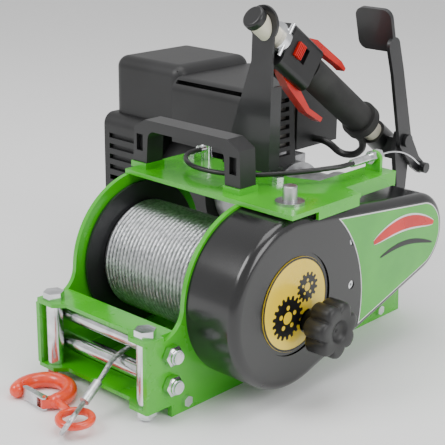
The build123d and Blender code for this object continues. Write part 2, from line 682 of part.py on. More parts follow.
def air_filter_cover():
    dome = block(-268, -156, 140, 264, 193, 262)
    dome = fillet(dome.edges().group_by(Axis.Z)[-1] + dome.edges().filter_by(Axis.Z), 14)
    return dome - block(-264, -163, 144, 260, 190, 256)


def starter_housing():
    """The fan housing: a square louvred shell, open towards the engine round the crankshaft."""
    shell = block(-271, -194, 126, 278, 41, 193)
    shell = fillet(shell.edges().filter_by(Axis.X), 14)
    shell += rod_x(60, -194, -116, CRANK_Y, CRANK_Z)
    shell -= rod_x(72, -268, -197, CRANK_Y, CRANK_Z)
    shell -= rod_x(56, -198, -119, CRANK_Y, CRANK_Z)
    shell -= rod_x(CRANK_R + 1, -200, -100, CRANK_Y, CRANK_Z)
    for slat in range(9):
        z = 60 + 13 * slat
        shell -= block(-262, -204, 120, 130.5, z, z + 6)
        shell -= block(-262, -204, 273.5, 284, z, z + 6)
    return shell


def recoil_handle():
    grip = block(-281.8, -271.3, 158, 190, 76, 86)
    grip = fillet(grip.edges().filter_by(Axis.X), 4)
    return grip


CAP_X = -92.0


def fuel_tank():
    tank = block(-112, -24, 156, 256, SKID_RAIL, 68)
    tank = fillet(tank.edges().filter_by(Axis.Z), 12)
    hollow = block(-109, -27, 159, 253, SKID_RAIL + 3, 65)
    neck = rod_y(11, 254, 264, CAP_X, 50)
    return tank - hollow + neck - rod_y(8, 250, 270, CAP_X, 50)


def fuel_cap():
    cap = rod_y(15, 264 + PART_GAP, 276, CAP_X, 50)
    for rib in range(12):
        angle = math.radians(30 * rib)
        cap -= rod_y(2, 262, 280, CAP_X + 16 * math.cos(angle), 50 + 16 * math.sin(angle))
    return cap


# ---------------------------------------------------------------- control column and handle
TUBE_AXIS = (TUBE_REAR - TUBE_FRONT).normalized()
TUBE_LENGTH = (TUBE_REAR - TUBE_FRONT).length
TUBE_PLANE = Plane(origin=TUBE_FRONT, x_dir=(-1, 0, 0), z_dir=TUBE_AXIS)
HOUSING = (38.0, 88.0)
POST_Y = 75.0
POST_T = 3.0


def on_tube(shape):
    """Place a shape made with the tube along its Z axis, X to the left and Y upwards."""
    return TUBE_PLANE * shape


def ring(r_out, r_in, z0, z1):
    return rod_z(r_out, z0, z1, 0, 0) - rod_z(r_in, z0 - 1, z1 + 1, 0, 0)


def handle_tube():
    return on_tube(ring(TUBE_R, TUBE_R - TUBE_WALL, 0, TUBE_LENGTH))


def tube_cap():
    cap = rod_z(TUBE_R + 1, -8, 0, 0, 0)
    cap = fillet(cap.edges().group_by(Axis.Z)[0], 3)
    return on_tube(cap + rod_z(TUBE_R - TUBE_WALL, 0, 10, 0, 0))


def control_post():
    """A folded steel post: foot, web with two side flanges, and an eye for the tube."""
    eye_x = 24.5
    eye_z = 338.0
    web = poly((-27, TOP_HEIGHT), (36, TOP_HEIGHT), (37, 300), (38, eye_z), (11, eye_z), (10, 300))
    web += disc(18, eye_x, eye_z)
    post = extrude(Plane.XZ.offset(-POST_Y) * web, amount=-POST_T)
    post += block(-27, 36, POST_Y, POST_Y + 22, TOP_HEIGHT, TOP_HEIGHT + POST_T)
    right_edge = poly((36, TOP_HEIGHT), (36.8, 276), (33.8, 276), (33, TOP_HEIGHT))
    post += extrude(Plane.XZ.offset(-POST_Y) * right_edge, amount=-16)
    bore = on_tube(rod_z(TUBE_R, -30, 60, 0, 0))
    post -= bore
    for x in (-14, 22):
        post -= rod_z(3.5, TOP_HEIGHT - 1, TOP_HEIGHT + POST_T + 1, x, POST_Y + 14)
    return post


def grip_sleeve():
    grip = ring(GRIP_R, TUBE_R, GRIP_START, GRIP_END) + ring(GRIP_R + 4, TUBE_R, GRIP_END - 10, GRIP_END)
    return on_tube(grip)


def throttle_housing():
    """The moulded control housing round the tube, with the pins of the trigger and the lock."""
    z0, z1 = HOUSING
    body = block(-16, 16, -27, 21, z0, z1)
    body = fillet(body.edges().filter_by(Axis.Z), 8)
    body -= rod_z(TUBE_R, z0 - 1, z1 + 1, 0, 0)
    body -= block(-6.5, 6.5, -30, -14, z0 + 8, z1 + 1)
    body -= block(-6.5, 6.5, 13.5, 24, z0 + 22, z1 + 1)
    body -= block(-20, -TUBE_R - 0.5, -8, 8, z0 + 10, z0 + 30)
    body -= rod_y(BUTTON_R + PART_GAP, 14, 22, 0, z0 + BUTTON_S)
    body += rod_x(TRIGGER_PIN_R, -8, 8, *TRIGGER_PIVOT)
    body += rod_x(LOCK_PIN_R, -8, 8, *LOCK_PIVOT)
    return on_tube(body)


def housing_clamp():
    half = ring(TUBE_R + 6, TUBE_R, HOUSING[0] - 9, HOUSING[0])
    screws = [rod_y(2.2, -18, 18, x, HOUSING[0] - 4.5) for x in (-13.8, 13.8)]
    ring_part = half - screws[0] - screws[1]
    return [on_tube(ring_part)] + [on_tube(screw) for screw in screws]


TRIGGER_PIVOT = (-19.0, HOUSING[0] + 16)
TRIGGER_PIN_R = 2.0
LOCK_PIVOT = (16.8, HOUSING[0] + 30)
LOCK_PIN_R = 1.4
BUTTON_R = 4.0
BUTTON_S = 9.0


def swap_axes(side):
    """Turn an outline drawn as (along the tube, up) into the (up, along) of the YZ plane."""
    return mirror(side, about=Plane(origin=(0, 0, 0), z_dir=(1, -1, 0)))


def throttle_trigger():
    """The finger lever under the grip, with its pivot boss inside the housing."""
    y, z = TRIGGER_PIVOT
    side = disc(4.5, z, y) + poly((z - 3, y - 4), (z + 4, y + 4), (z + 24, y - 2), (z + 60, y - 14), (z + 84, y - 12),
                                  (z + 84, y - 17), (z + 60, y - 20), (z + 20, y - 13))
    side -= disc(TRIGGER_PIN_R + RUN_GAP, z, y)
    return on_tube(extrude(Plane.YZ * swap_axes(side), amount=5.5, both=True))


def throttle_lock():
    """The palm lever over the grip that frees the trigger."""
    y, z = LOCK_PIVOT
    side = disc(2.8, z, y) + poly((z, y - 2.5), (z, y + 6), (z + 14, y + 12), (z + 60, y + 14), (z + 70, y + 11.5),
                                  (z + 70, y + 8), (z + 60, y + 8), (z + 20, y + 4), (z + 8, y - 1.5))
    side -= disc(LOCK_PIN_R + RUN_GAP, z, y)
    return on_tube(extrude(Plane.YZ * swap_axes(side), amount=5.5, both=True))


def stop_switch():
    """A ribbed slide in the housing's side pocket."""
    z0 = HOUSING[0] + 10
    body = block(-19, -TUBE_R - 0.8, -7.5, 7.5, z0 + 0.5, z0 + 11)
    for rib in range(4):
        body -= block(-20, -18, -8, 8, z0 + 1.6 + 2.4 * rib, z0 + 2.8 + 2.4 * rib)
    return on_tube(body)


def start_button():
    return on_tube(rod_y(BUTTON_R, 16.3, 23.5, 0, HOUSING[0] + BUTTON_S))


# ---------------------------------------------------------------- clutch lever and its cable
def lever_bracket():
    """The rear bracket: a plate with the lever's pivot pin, and the socket of the handle tube."""
    outline = poly((248.5, 30), (259, 30), (263, 110), (270, LEVER_Z - 6), (LEVER_Y + 9, LEVER_Z + 10),
                   (LEVER_Y - 9, LEVER_Z + 10), (LEVER_Y - 13, LEVER_Z - 8), (248.5, 150))
    plate = slab_x(outline, IN_X - 5, 5)
    socket = on_tube(rod_z(TUBE_R + 3.5, TUBE_LENGTH - 26, TUBE_LENGTH + 2, 0, 0))
    arm = block(40, IN_X - 5, 252, 264, 176, 190)
    arm += block(40, IN_X - 5, 252, 258, 190, 200)
    pin = rod_x(PIVOT_R, IN_X, IN_X + LEVER_T + 5, LEVER_Y, LEVER_Z)
    pin += rod_x(7, IN_X + LEVER_T + 1, IN_X + LEVER_T + 5, LEVER_Y, LEVER_Z)
    bracket = plate + socket + arm + pin
    return bracket - on_tube(rod_z(TUBE_R, TUBE_LENGTH - 60, TUBE_LENGTH, 0, 0))


PIVOT_R = 4.0
CLAMP = (287.0, 163.0)


def clutch_lever():
    """A flat steel lever: cable arm, strip and a folded thumb paddle."""
    x0 = IN_X + 0.5
    top = (214.5, 345.0)
    lower = (276.0, 171.0)
    strip = belt_outline((LEVER_Y, LEVER_Z), 11, (233, 277), LEVER_W / 2)
    strip += belt_outline((233, 277), LEVER_W / 2 + 0.001, (223.5, 305), LEVER_W / 2)
    strip += belt_outline((LEVER_Y, LEVER_Z), 11, lower, 8) + belt_outline(lower, 8.001, CLAMP, 7)
    plate = slab_x(strip, x0, LEVER_T)
    paddle = fillet(block(x0 + LEVER_T - 45, x0 + LEVER_T, -2.5, 2.5, 0, 46).edges().filter_by(Axis.Y), 10)
    lean = math.degrees(math.atan2(LEVER_Y - top[0], top[1] - LEVER_Z))
    paddle = Pos(0, 225.5, 299) * Rot(lean, 0, 0) * paddle
    return plate + paddle - rod_x(PIVOT_R + RUN_GAP, x0 - 1, x0 + LEVER_T + 1, LEVER_Y, LEVER_Z)


def wire_clamp():
    """The bolt that grips the bare wire at the end of the cable arm."""
    x0 = IN_X + 0.5 + LEVER_T
    return rod_x(6, x0, x0 + 8, *CLAMP)


CLUTCH_CABLE = ((EAR_X, 123, CABLE_Z), (EAR_X, 106, CABLE_Z), (89, 80, 202), (70, 54, 200), (46, 32, 198),
                (16, 17, 198), (-14, 15, 199), (-36, 28, 200.5), (GLAND_X, 46, 201), (GLAND_X, 60, 201))
CLUTCH_WIRE = ((EAR_X, 170, CABLE_Z), (EAR_X, 190, CABLE_Z), (101, 214, 198), (96, 240, 187), (88.5, 264, 174),
               (IN_X + 8.5, 281.5, 166))
THROTTLE_CABLE = ((37.85, 219.26, 204.05), (38.59, 227.96, 197.35), (35, 235, 186), (22, 239, 175),
                  (4, 237, 173), (-11, 231, 186), (-30, 231, 186))


def cable_fittings():
    """The threaded adjuster in the ear and the elbow gland on the top plate."""
    barrel = rod_y(BARREL_R, 123, 170, EAR_X, CABLE_Z)
    for y in (EAR_Y, EAR_Y + 10):
        barrel += Pos(EAR_X, y, CABLE_Z) * Rot(90, 0, 0) * hex_head(12, 6)
    gland = rod_z(GLAND_R, TOP_HEIGHT, 208, GLAND_X, GLAND_Y) + rod_y(4.5, 60, GLAND_Y, GLAND_X, 201)
    gland += rod_z(GLAND_R - 2, SHEET_Z - 6, TOP_HEIGHT, GLAND_X, GLAND_Y)
    return barrel, gland


# ---------------------------------------------------------------- screws of the frame
def frame_screws():
    solids = []
    for y in (-85, 60, 140, 220):
        for side in (-1, 1):
            solids.append(Pos(side * OUT_X, y, 11) * Rot(0, 90 * side, 0) * hex_head(10, 4.5))
    for x in (-14, 22):
        solids.append(Pos(x, POST_Y + 14, TOP_HEIGHT + POST_T) * hex_head(11, 5))
    for x, y in ((-62, 62), (60, 62)):
        solids.append(Pos(x, y, TOP_HEIGHT) * hex_head(11, 5))
    return solids


# ---------------------------------------------------------------- free rope, thimble and hook
ROPE_LEAD = ((7, -5.5, 39.3), (10, -55, 43.6), (13, -99, 48.3), (16, -122, 42), (19.9, -134.18, 34.2),
             (22, -143, 30))
FERRULE_END = Vector(27, -164, 20)
FERRULE_R = 4.8
THIMBLE_TIP = Vector(44, -204, 11)


def ferrule():
    return rod_between(FERRULE_R, ROPE_LEAD[-1], tuple(FERRULE_END))


THIMBLE_R = 13.5
THIMBLE_WALL = 4.0
THIMBLE_T = 4.6


def thimble():
    """The rope eye: a teardrop loop seen on edge, through the hook's eye."""
    along = (THIMBLE_TIP - FERRULE_END).normalized()
    view = Vector(-0.688, 0.554, -0.468)
    wide = (view - along * view.dot(along)).normalized()
    plane = Plane(origin=FERRULE_END, x_dir=wide, z_dir=wide.cross(along))
    length = (THIMBLE_TIP - FERRULE_END).length
    loop = belt_outline((0, 4.2), 3.5, (0, length - THIMBLE_R), THIMBLE_R)
    hole = belt_outline((0, 15), 1.5, (0, length - THIMBLE_R), THIMBLE_R - THIMBLE_WALL)
    return extrude(plane * (loop - hole), amount=THIMBLE_T / 2, both=True)


def hook_body():
    """A forged eye hook on its side: bowl, eye, neck, and the lug with the gate's pin."""
    cx, cy = HOOK_CENTRE
    arc = CenterArc((cx, cy, HOOK_Z), HOOK_R, HOOK_START, HOOK_SWEEP)
    hook = sweep(Plane(origin=arc @ 0, z_dir=arc % 0) * Circle(HOOK_BAR_R), path=arc)
    for t in (0, 1):
        hook += Pos(*(arc @ t)) * Sphere(HOOK_BAR_R)
    eye_centre = Vector(*EYE_CENTRE, EYE_Z)
    hook += Pos(*eye_centre) * Torus(EYE_R, EYE_BAR_R)
    start = arc @ 0
    flat = Vector(start.X - eye_centre.X, start.Y - eye_centre.Y, 0).normalized()
    hook += rod_between(EYE_BAR_R, start, eye_centre + flat * EYE_R)
    lug = belt_outline(LATCH_PIN, 3.5, (start.X, start.Y), 5)
    hook += slab_z(lug, HOOK_Z - LUG_T / 2, LUG_T)
    return hook + rod_z(LATCH_PIN_R, HOOK_Z - LUG_T / 2 - 2.4, HOOK_Z + LUG_T / 2 + 2.4, *LATCH_PIN)


HOOK_START = -8.0            # degrees round the bowl, from +X
HOOK_SWEEP = 226.0
LATCH_PIN = (-16.5, -176.0)
LATCH_TIP = (-45.8, -175.0)
LATCH_PIN_R = 1.5
LUG_T = 9.0


def hook_latch():
    """The folded gate: two ears over the lug, and a leaf to the inside of the tip."""
    gate = belt_outline(LATCH_PIN, 3.5, LATCH_TIP, 2.5)
    leaf = slab_z(gate, HOOK_Z - LUG_T / 2 - 1.8, LUG_T + 3.6)
    leaf -= rod_z(8, HOOK_Z - LUG_T / 2 - PART_GAP, HOOK_Z + LUG_T / 2 + PART_GAP, *LATCH_PIN)
    return leaf - rod_z(LATCH_PIN_R + RUN_GAP, 0, 20, *LATCH_PIN)


def build():
    save("side_plate_left", side_plate_left())
    save("side_plate_right", side_plate_right())
    save("fairlead_flanges", fairlead_flange(CHEEK_TOP, cheek_fillet_y()),
         fairlead_flange(CHEEK_LOW - FLANGE_T, SKID_FRONT_Y))
    save("base_tray", base_tray())
    save("top_plate", top_plate())
    save("bridge_handle", bridge_handle())
    save("anchor_stud", *anchor_stud())
    save("roller_bolts", *roller_bolts())
    save("roller_nuts", *roller_nuts())
    low = CHEEK_LOW + PART_GAP
    high = CHEEK_TOP - PART_GAP
    save("roller_left", tube_roller("z", low, high, -VERT_ROLLER_X, VERT_ROLLER_Y))
    save("roller_right", tube_roller("z", low, high, VERT_ROLLER_X, VERT_ROLLER_Y))
    side = IN_X - PART_GAP
    save("roller_bottom", tube_roller("x", -side, side, HORIZ_ROLLER_Y, HORIZ_ROLLER_Z[0]))
    save("roller_top", tube_roller("x", -side, side, HORIZ_ROLLER_Y, HORIZ_ROLLER_Z[1]))
    save("drum", drum())
    save("rope_wound", rope_wound())
    save("bearings", *bearings())
    save("drum_gear", drum_gear())
    save("drive_pulley", drive_pulley())
    save("layshaft", layshaft())
    save("gear_bridge", gear_bridge())
    save("engine_pulley", engine_pulley())
    save("drive_belt", drive_belt())
    save("gear_cover", gear_cover())
    save("dial_plate", dial_plate())
    save("gear_knob", gear_knob())
    save("cover_screws", *cover_screws())
    save("crankcase", crankcase())
    save("crankshaft", crankshaft())
    save("flywheel_fan", flywheel_fan())
    save("cylinder", cylinder())
    save("muffler", muffler())
    save("muffler_guard", muffler_guard())
    save("engine_hood", engine_hood())
    save("air_filter_cover", air_filter_cover())
    save("starter_housing", starter_housing())
    save("recoil_handle", recoil_handle())
    save("fuel_tank", fuel_tank())
    save("fuel_cap", fuel_cap())
    save("handle_tube", handle_tube())
    save("tube_cap", tube_cap())
    save("control_post", control_post())
    save("grip_sleeve", grip_sleeve())
    save("throttle_housing", throttle_housing())
    save("housing_clamp", *housing_clamp())
    save("throttle_trigger", throttle_trigger())
    save("throttle_lock", throttle_lock())
    save("stop_switch", stop_switch())
    save("start_button", start_button())
    save("lever_bracket", lever_bracket())
    save("clutch_lever", clutch_lever(), wire_clamp())
    save("cable_fittings", *cable_fittings())
    print("clutch cable")
    save("clutch_cable", tube_along(CLUTCH_CABLE, 2.5))
    print("clutch wire")
    save("clutch_wire", tube_along(CLUTCH_WIRE, 0.8))
    print("throttle cable")
    save("throttle_cable", tube_along(THROTTLE_CABLE, 4))
    save("frame_screws", *frame_screws())
    print("rope lead")
    save("rope_lead", tube_along(ROPE_LEAD, ROPE_D / 2))
    save("ferrule", ferrule())
    save("thimble", thimble())
    save("hook_body", hook_body())
    save("hook_latch", hook_latch())


build()
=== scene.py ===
import math
import bmesh
import bpy
from mathutils import Matrix, Vector


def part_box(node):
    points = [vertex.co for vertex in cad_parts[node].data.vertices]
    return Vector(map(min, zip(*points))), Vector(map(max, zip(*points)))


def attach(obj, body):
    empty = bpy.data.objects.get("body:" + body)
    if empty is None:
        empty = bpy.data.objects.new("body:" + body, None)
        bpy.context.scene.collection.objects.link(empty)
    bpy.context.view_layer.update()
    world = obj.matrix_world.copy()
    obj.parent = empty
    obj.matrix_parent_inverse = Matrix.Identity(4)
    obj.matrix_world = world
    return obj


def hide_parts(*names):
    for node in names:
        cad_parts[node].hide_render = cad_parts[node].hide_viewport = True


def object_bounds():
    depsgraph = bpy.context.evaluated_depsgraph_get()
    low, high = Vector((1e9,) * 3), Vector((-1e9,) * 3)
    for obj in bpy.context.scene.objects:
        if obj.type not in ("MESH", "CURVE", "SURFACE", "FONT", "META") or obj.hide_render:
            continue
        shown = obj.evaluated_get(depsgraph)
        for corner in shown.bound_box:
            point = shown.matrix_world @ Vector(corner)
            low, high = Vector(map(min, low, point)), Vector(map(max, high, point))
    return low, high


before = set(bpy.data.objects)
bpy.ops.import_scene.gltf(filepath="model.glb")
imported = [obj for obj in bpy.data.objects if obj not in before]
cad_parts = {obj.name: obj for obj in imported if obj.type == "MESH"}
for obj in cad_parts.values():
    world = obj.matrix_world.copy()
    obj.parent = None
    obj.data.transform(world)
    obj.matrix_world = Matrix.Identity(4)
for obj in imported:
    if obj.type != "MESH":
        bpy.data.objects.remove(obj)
cad_low, cad_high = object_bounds()


# ---------------------------------------------------------------- studio
# A pale sweep of floor under the winch, a big soft light on each side and one above,
# and a camera at the front corner of the gear cover, a little above the top plate.
CAMERA_PLACE = (0.7510, -0.7611, 0.5030)
CAMERA_SIGHT = (-0.646, 0.695, -0.316)
CAMERA_UP = (-0.223, 0.223, 0.949)
CAMERA_LENS = 92.1           # mm, on a sensor of SENSOR_WIDTH mm
SENSOR_WIDTH = 36
FLOOR_SIZE = 12.0
FLOOR_DROP = 0.0002          # keeps the floor just under the feet
FLOOR_COLOUR = (0.93, 0.93, 0.93, 1)
FLOOR_ROUGHNESS = 0.7
SKY_STRENGTH = 0.75
LIGHTS = (("key_light", (-0.6, -1.3, 1.5), 0.9, 22),         # name, place, size, watts
          ("side_light", (1.6, 0.2, 0.9), 0.9, 14),
          ("top_light", (0.1, 0.2, 1.9), 1.2, 16))

camera = bpy.data.objects.new("camera", bpy.data.cameras.new("camera"))
bpy.context.scene.collection.objects.link(camera)
camera.data.lens = CAMERA_LENS
camera.data.sensor_width = SENSOR_WIDTH
camera.location = CAMERA_PLACE
looking = Vector(CAMERA_SIGHT).normalized()
rightward = looking.cross(Vector(CAMERA_UP)).normalized()
camera.rotation_mode = "QUATERNION"
camera_axes = Matrix((rightward, rightward.cross(looking), -looking)).transposed()
camera.rotation_quaternion = camera_axes.to_quaternion()
bpy.context.scene.camera = camera

floor_mesh = bpy.data.meshes.new("floor")
floor_half = FLOOR_SIZE / 2
floor_mesh.from_pydata([(x * floor_half, y * floor_half, 0) for x, y in ((-1, -1), (1, -1), (1, 1), (-1, 1))],
                       [], [(0, 1, 2, 3)])
floor = bpy.data.objects.new("floor", floor_mesh)
floor.location.z = cad_low.z - FLOOR_DROP
bpy.context.scene.collection.objects.link(floor)
floor_paper = bpy.data.materials.new("floor_paper")
floor_paper.use_nodes = True
floor_shader = floor_paper.node_tree.nodes["Principled BSDF"]
floor_shader.inputs["Base Color"].default_value = FLOOR_COLOUR
floor_shader.inputs["Roughness"].default_value = FLOOR_ROUGHNESS
floor_mesh.materials.append(floor_paper)

sky = bpy.data.worlds.new("studio")
sky.use_nodes = True
sky_shader = sky.node_tree.nodes["Background"]
sky_shader.inputs["Color"].default_value = (1, 1, 1, 1)
sky_shader.inputs["Strength"].default_value = SKY_STRENGTH
bpy.context.scene.world = sky


def soft_light(name, place, target, size, watts):
    """A square area light aimed at a point."""
    lamp = bpy.data.objects.new(name, bpy.data.lights.new(name, "AREA"))
    lamp.data.energy = watts
    lamp.data.size = size
    lamp.location = place
    lamp.rotation_mode = "QUATERNION"
    lamp.rotation_quaternion = (Vector(target) - Vector(place)).to_track_quat("-Z", "Y")
    bpy.context.scene.collection.objects.link(lamp)


middle = (cad_low + cad_high) / 2
for light_name, light_place, light_size, light_watts in LIGHTS:
    soft_light(light_name, light_place, middle, light_size, light_watts)


# ---------------------------------------------------------------- free rope, ferrule and rope eye
# Galvanised steel rope, six strands laid round each other, runs out over the lower roller to a
# swaged aluminium ferrule. The rope turns back round a pressed steel thimble to make its eye.
ROPE_ROUTE = ((7, -5.5, 39.3), (10, -55, 43.6), (13, -99, 48.3), (16, -122, 42), (19.9, -134.18, 34.2),
              (22, -143, 30))
ROPE_DIAMETER = 0.005
STRANDS = 6
LAY_LENGTH = 0.030           # along the rope, for one turn of a strand
GROOVE = 0.26                # depth of the groove between strands, as a share of the radius
GROOVE_POWER = 0.6           # below 1, the strands bulge and the grooves are narrow
FREE_STEP = 0.0012           # along the rope, between its sections


def node_in(tree, kind, **settings):
    """A node of a tree, with its own settings made."""
    node = tree.nodes.new(kind)
    for name, value in settings.items():
        setattr(node, name, value)
    return node


def finish_of(name, dark, light, roughness, metallic=0.0, mottle=60.0, grain=900.0, depth=0.00002, coat=0.0,
              stretch=(1, 1, 1), wander=0.08):
    """A surface whose colour drifts between two shades, with its gloss drifting along with it, and a fine grain in
    its relief.

    mottle and grain are in patches per metre, depth is the height of the grain in metres, and
    stretch draws the grain out, as brushing or machining does.
    """
    material = bpy.data.materials.new(name)
    material.use_nodes = True
    tree = material.node_tree
    shader = tree.nodes["Principled BSDF"]
    shader.inputs["Metallic"].default_value = metallic
    shader.inputs["Coat Weight"].default_value = coat
    shader.inputs["Coat Roughness"].default_value = 0.12
    place = node_in(tree, "ShaderNodeTexCoord")
    drawn = node_in(tree, "ShaderNodeMapping")
    drawn.inputs["Scale"].default_value = stretch
    tree.links.new(place.outputs["Object"], drawn.inputs["Vector"])
    patches = node_in(tree, "ShaderNodeTexNoise")
    patches.inputs["Scale"].default_value = mottle
    patches.inputs["Detail"].default_value = 5
    tree.links.new(place.outputs["Object"], patches.inputs["Vector"])
    shades = node_in(tree, "ShaderNodeValToRGB")
    shades.color_ramp.elements[0].position = 0.35
    shades.color_ramp.elements[0].color = (*dark, 1)
    shades.color_ramp.elements[1].position = 0.65
    shades.color_ramp.elements[1].color = (*light, 1)
    tree.links.new(patches.outputs["Fac"], shades.inputs["Fac"])
    tree.links.new(shades.outputs["Color"], shader.inputs["Base Color"])
    fine = node_in(tree, "ShaderNodeTexNoise")
    fine.inputs["Scale"].default_value = grain
    fine.inputs["Detail"].default_value = 3
    tree.links.new(drawn.outputs["Vector"], fine.inputs["Vector"])
    gloss = node_in(tree, "ShaderNodeMapRange")
    gloss.inputs["To Min"].default_value = max(roughness - wander, 0.02)
    gloss.inputs["To Max"].default_value = roughness + wander
    tree.links.new(patches.outputs["Fac"], gloss.inputs["Value"])
    tree.links.new(gloss.outputs["Result"], shader.inputs["Roughness"])
    relief = node_in(tree, "ShaderNodeBump")
    relief.inputs["Distance"].default_value = depth
    relief.inputs["Strength"].default_value = 1.0
    tree.links.new(fine.outputs["Fac"], relief.inputs["Height"])
    tree.links.new(relief.outputs["Normal"], shader.inputs["Normal"])
    return material


def coat_node(material, slot, *nodes):
    """Give CAD nodes their finish."""
    for name in nodes:
        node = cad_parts[name]
        node.data.materials.clear()
        node.data.materials.append(material)


galvanised_strand = finish_of("galvanised_strand", (0.42, 0.43, 0.44), (0.70, 0.71, 0.73), 0.36, metallic=1.0,
                              mottle=260, grain=2600, depth=0.00012)
swaged_aluminium = finish_of("swaged_aluminium", (0.60, 0.61, 0.62), (0.80, 0.81, 0.82), 0.34, metallic=1.0,
                             mottle=180, grain=1400, depth=0.00008)


def strand_tree():
    """Geometry nodes that lay strands round a curve: a lobed section, turned as it goes along."""
    tree = bpy.data.node_groups.new("laid_strands", "GeometryNodeTree")
    face = tree.interface
    face.new_socket("Rope", in_out="INPUT", socket_type="NodeSocketGeometry")
    for label, value in (("Rope Radius", ROPE_DIAMETER / 2), ("Strands", STRANDS), ("Lay Length", LAY_LENGTH),
                         ("Step", 0.0022), ("Section Points", 30)):
        kind = "NodeSocketInt" if isinstance(value, int) else "NodeSocketFloat"
        face.new_socket(label, in_out="INPUT", socket_type=kind).default_value = value
    face.new_socket("Finish", in_out="INPUT", socket_type="NodeSocketMaterial")
    face.new_socket("Mesh", in_out="OUTPUT", socket_type="NodeSocketGeometry")
    given = node_in(tree, "NodeGroupInput")
    result = node_in(tree, "NodeGroupOutput")

    def sum_of(operation, a, b=None):
        node = node_in(tree, "ShaderNodeMath", operation=operation)
        for socket, value in ((node.inputs[0], a), (node.inputs[1], b)):
            if isinstance(value, (int, float)):
                socket.default_value = value
            elif value is not None:
                tree.links.new(value, socket)
        return node.outputs[0]

    steps = node_in(tree, "GeometryNodeResampleCurve", mode="LENGTH")
    tree.links.new(given.outputs["Rope"], steps.inputs["Curve"])
    tree.links.new(given.outputs["Step"], steps.inputs["Length"])
    travel = node_in(tree, "GeometryNodeSplineParameter")
    turned = node_in(tree, "GeometryNodeSetCurveTilt")
    tree.links.new(steps.outputs["Curve"], turned.inputs["Curve"])
    turns = sum_of("DIVIDE", travel.outputs["Length"], given.outputs["Lay Length"])
    tree.links.new(sum_of("MULTIPLY", turns, 2 * math.pi), turned.inputs["Tilt"])
    section = node_in(tree, "GeometryNodeCurvePrimitiveCircle", mode="RADIUS")
    section.inputs["Radius"].default_value = 1.0
    tree.links.new(given.outputs["Section Points"], section.inputs["Resolution"])
    spot = node_in(tree, "GeometryNodeInputPosition")
    parts = node_in(tree, "ShaderNodeSeparateXYZ")
    tree.links.new(spot.outputs["Position"], parts.inputs["Vector"])
    angle = sum_of("ARCTAN2", parts.outputs["Y"], parts.outputs["X"])
    half_strands = sum_of("MULTIPLY", given.outputs["Strands"], 0.5)
    wave = sum_of("ABSOLUTE", sum_of("COSINE", sum_of("MULTIPLY", angle, half_strands)))
    lobe = sum_of("ADD", sum_of("MULTIPLY", sum_of("POWER", wave, GROOVE_POWER), GROOVE), 1 - GROOVE)
    size = sum_of("MULTIPLY", lobe, given.outputs["Rope Radius"])
    scaled = node_in(tree, "ShaderNodeVectorMath", operation="SCALE")
    tree.links.new(spot.outputs["Position"], scaled.inputs[0])
    tree.links.new(size, scaled.inputs["Scale"])
    lobed = node_in(tree, "GeometryNodeSetPosition")
    tree.links.new(section.outputs["Curve"], lobed.inputs["Geometry"])
    tree.links.new(scaled.outputs["Vector"], lobed.inputs["Position"])
    skin = node_in(tree, "GeometryNodeCurveToMesh")
    skin.inputs["Fill Caps"].default_value = True
    tree.links.new(turned.outputs["Curve"], skin.inputs["Curve"])
    tree.links.new(lobed.outputs["Geometry"], skin.inputs["Profile Curve"])
    real = node_in(tree, "GeometryNodeRealizeInstances")
    tree.links.new(skin.outputs["Mesh"], real.inputs["Geometry"])
    painted = node_in(tree, "GeometryNodeSetMaterial")
    tree.links.new(real.outputs["Geometry"], painted.inputs["Geometry"])
    tree.links.new(given.outputs["Finish"], painted.inputs["Material"])
    tree.links.new(painted.outputs["Geometry"], result.inputs["Mesh"])
    return tree


def grown(name, source, tree, **inputs):
    """The plain mesh that a node tree makes from a source object, as a new piece. The source goes."""
    modifier = source.modifiers.new("nodes", "NODES")
    modifier.node_group = tree
    for item in tree.interface.items_tree:
        label = item.name.replace(" ", "_").lower()
        if item.in_out == "INPUT" and label in inputs:
            modifier[item.identifier] = inputs[label]
    source.update_tag()
    bpy.context.view_layer.update()
    shown = source.evaluated_get(bpy.context.evaluated_depsgraph_get())
    mesh = bpy.data.meshes.new_from_object(shown)
    source.modifiers.clear()
    bpy.data.objects.remove(source)
    for polygon in mesh.polygons:
        polygon.use_smooth = True
    piece = bpy.data.objects.new(name, mesh)
    bpy.context.scene.collection.objects.link(piece)
    return piece


def route_curve(name, points, smooth=True):
    """A curve with no thickness: a NURBS line led by points in metres, or a plain chain of them."""
    curve = bpy.data.curves.new(name, "CURVE")
    curve.dimensions = "3D"
    curve.twist_mode = "MINIMUM"
    curve.resolution_u = 16
    spline = curve.splines.new("NURBS" if smooth else "POLY")
    spline.points.add(len(points) - 1)
    for point, place in zip(spline.points, points):
        point.co = (*place, 1)
    if smooth:
        spline.order_u = 3
        spline.use_endpoint_u = True
    line = bpy.data.objects.new(name, curve)
    bpy.context.scene.collection.objects.link(line)
    return line


def line_points(line):
    """The points of a curve's own line, in order."""
    bpy.context.view_layer.update()
    mesh = bpy.data.meshes.new_from_object(line.evaluated_get(bpy.context.evaluated_depsgraph_get()))
    points = [vertex.co.copy() for vertex in mesh.vertices]
    bpy.data.meshes.remove(mesh)
    return points


def metres(points):
    """Points in millimetres, given in metres."""
    return [tuple(value / 1000 for value in point) for point in points]


laid_strands = strand_tree()
rope_line = route_curve("rope_line", metres(ROPE_ROUTE))
rope_path = line_points(rope_line)
free_rope = grown("free_rope", rope_line, laid_strands, finish=galvanised_strand, step=FREE_STEP)
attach(free_rope, "frame")
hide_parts("rope_lead")

coat_node(swaged_aluminium, "cast_alloy", "ferrule")

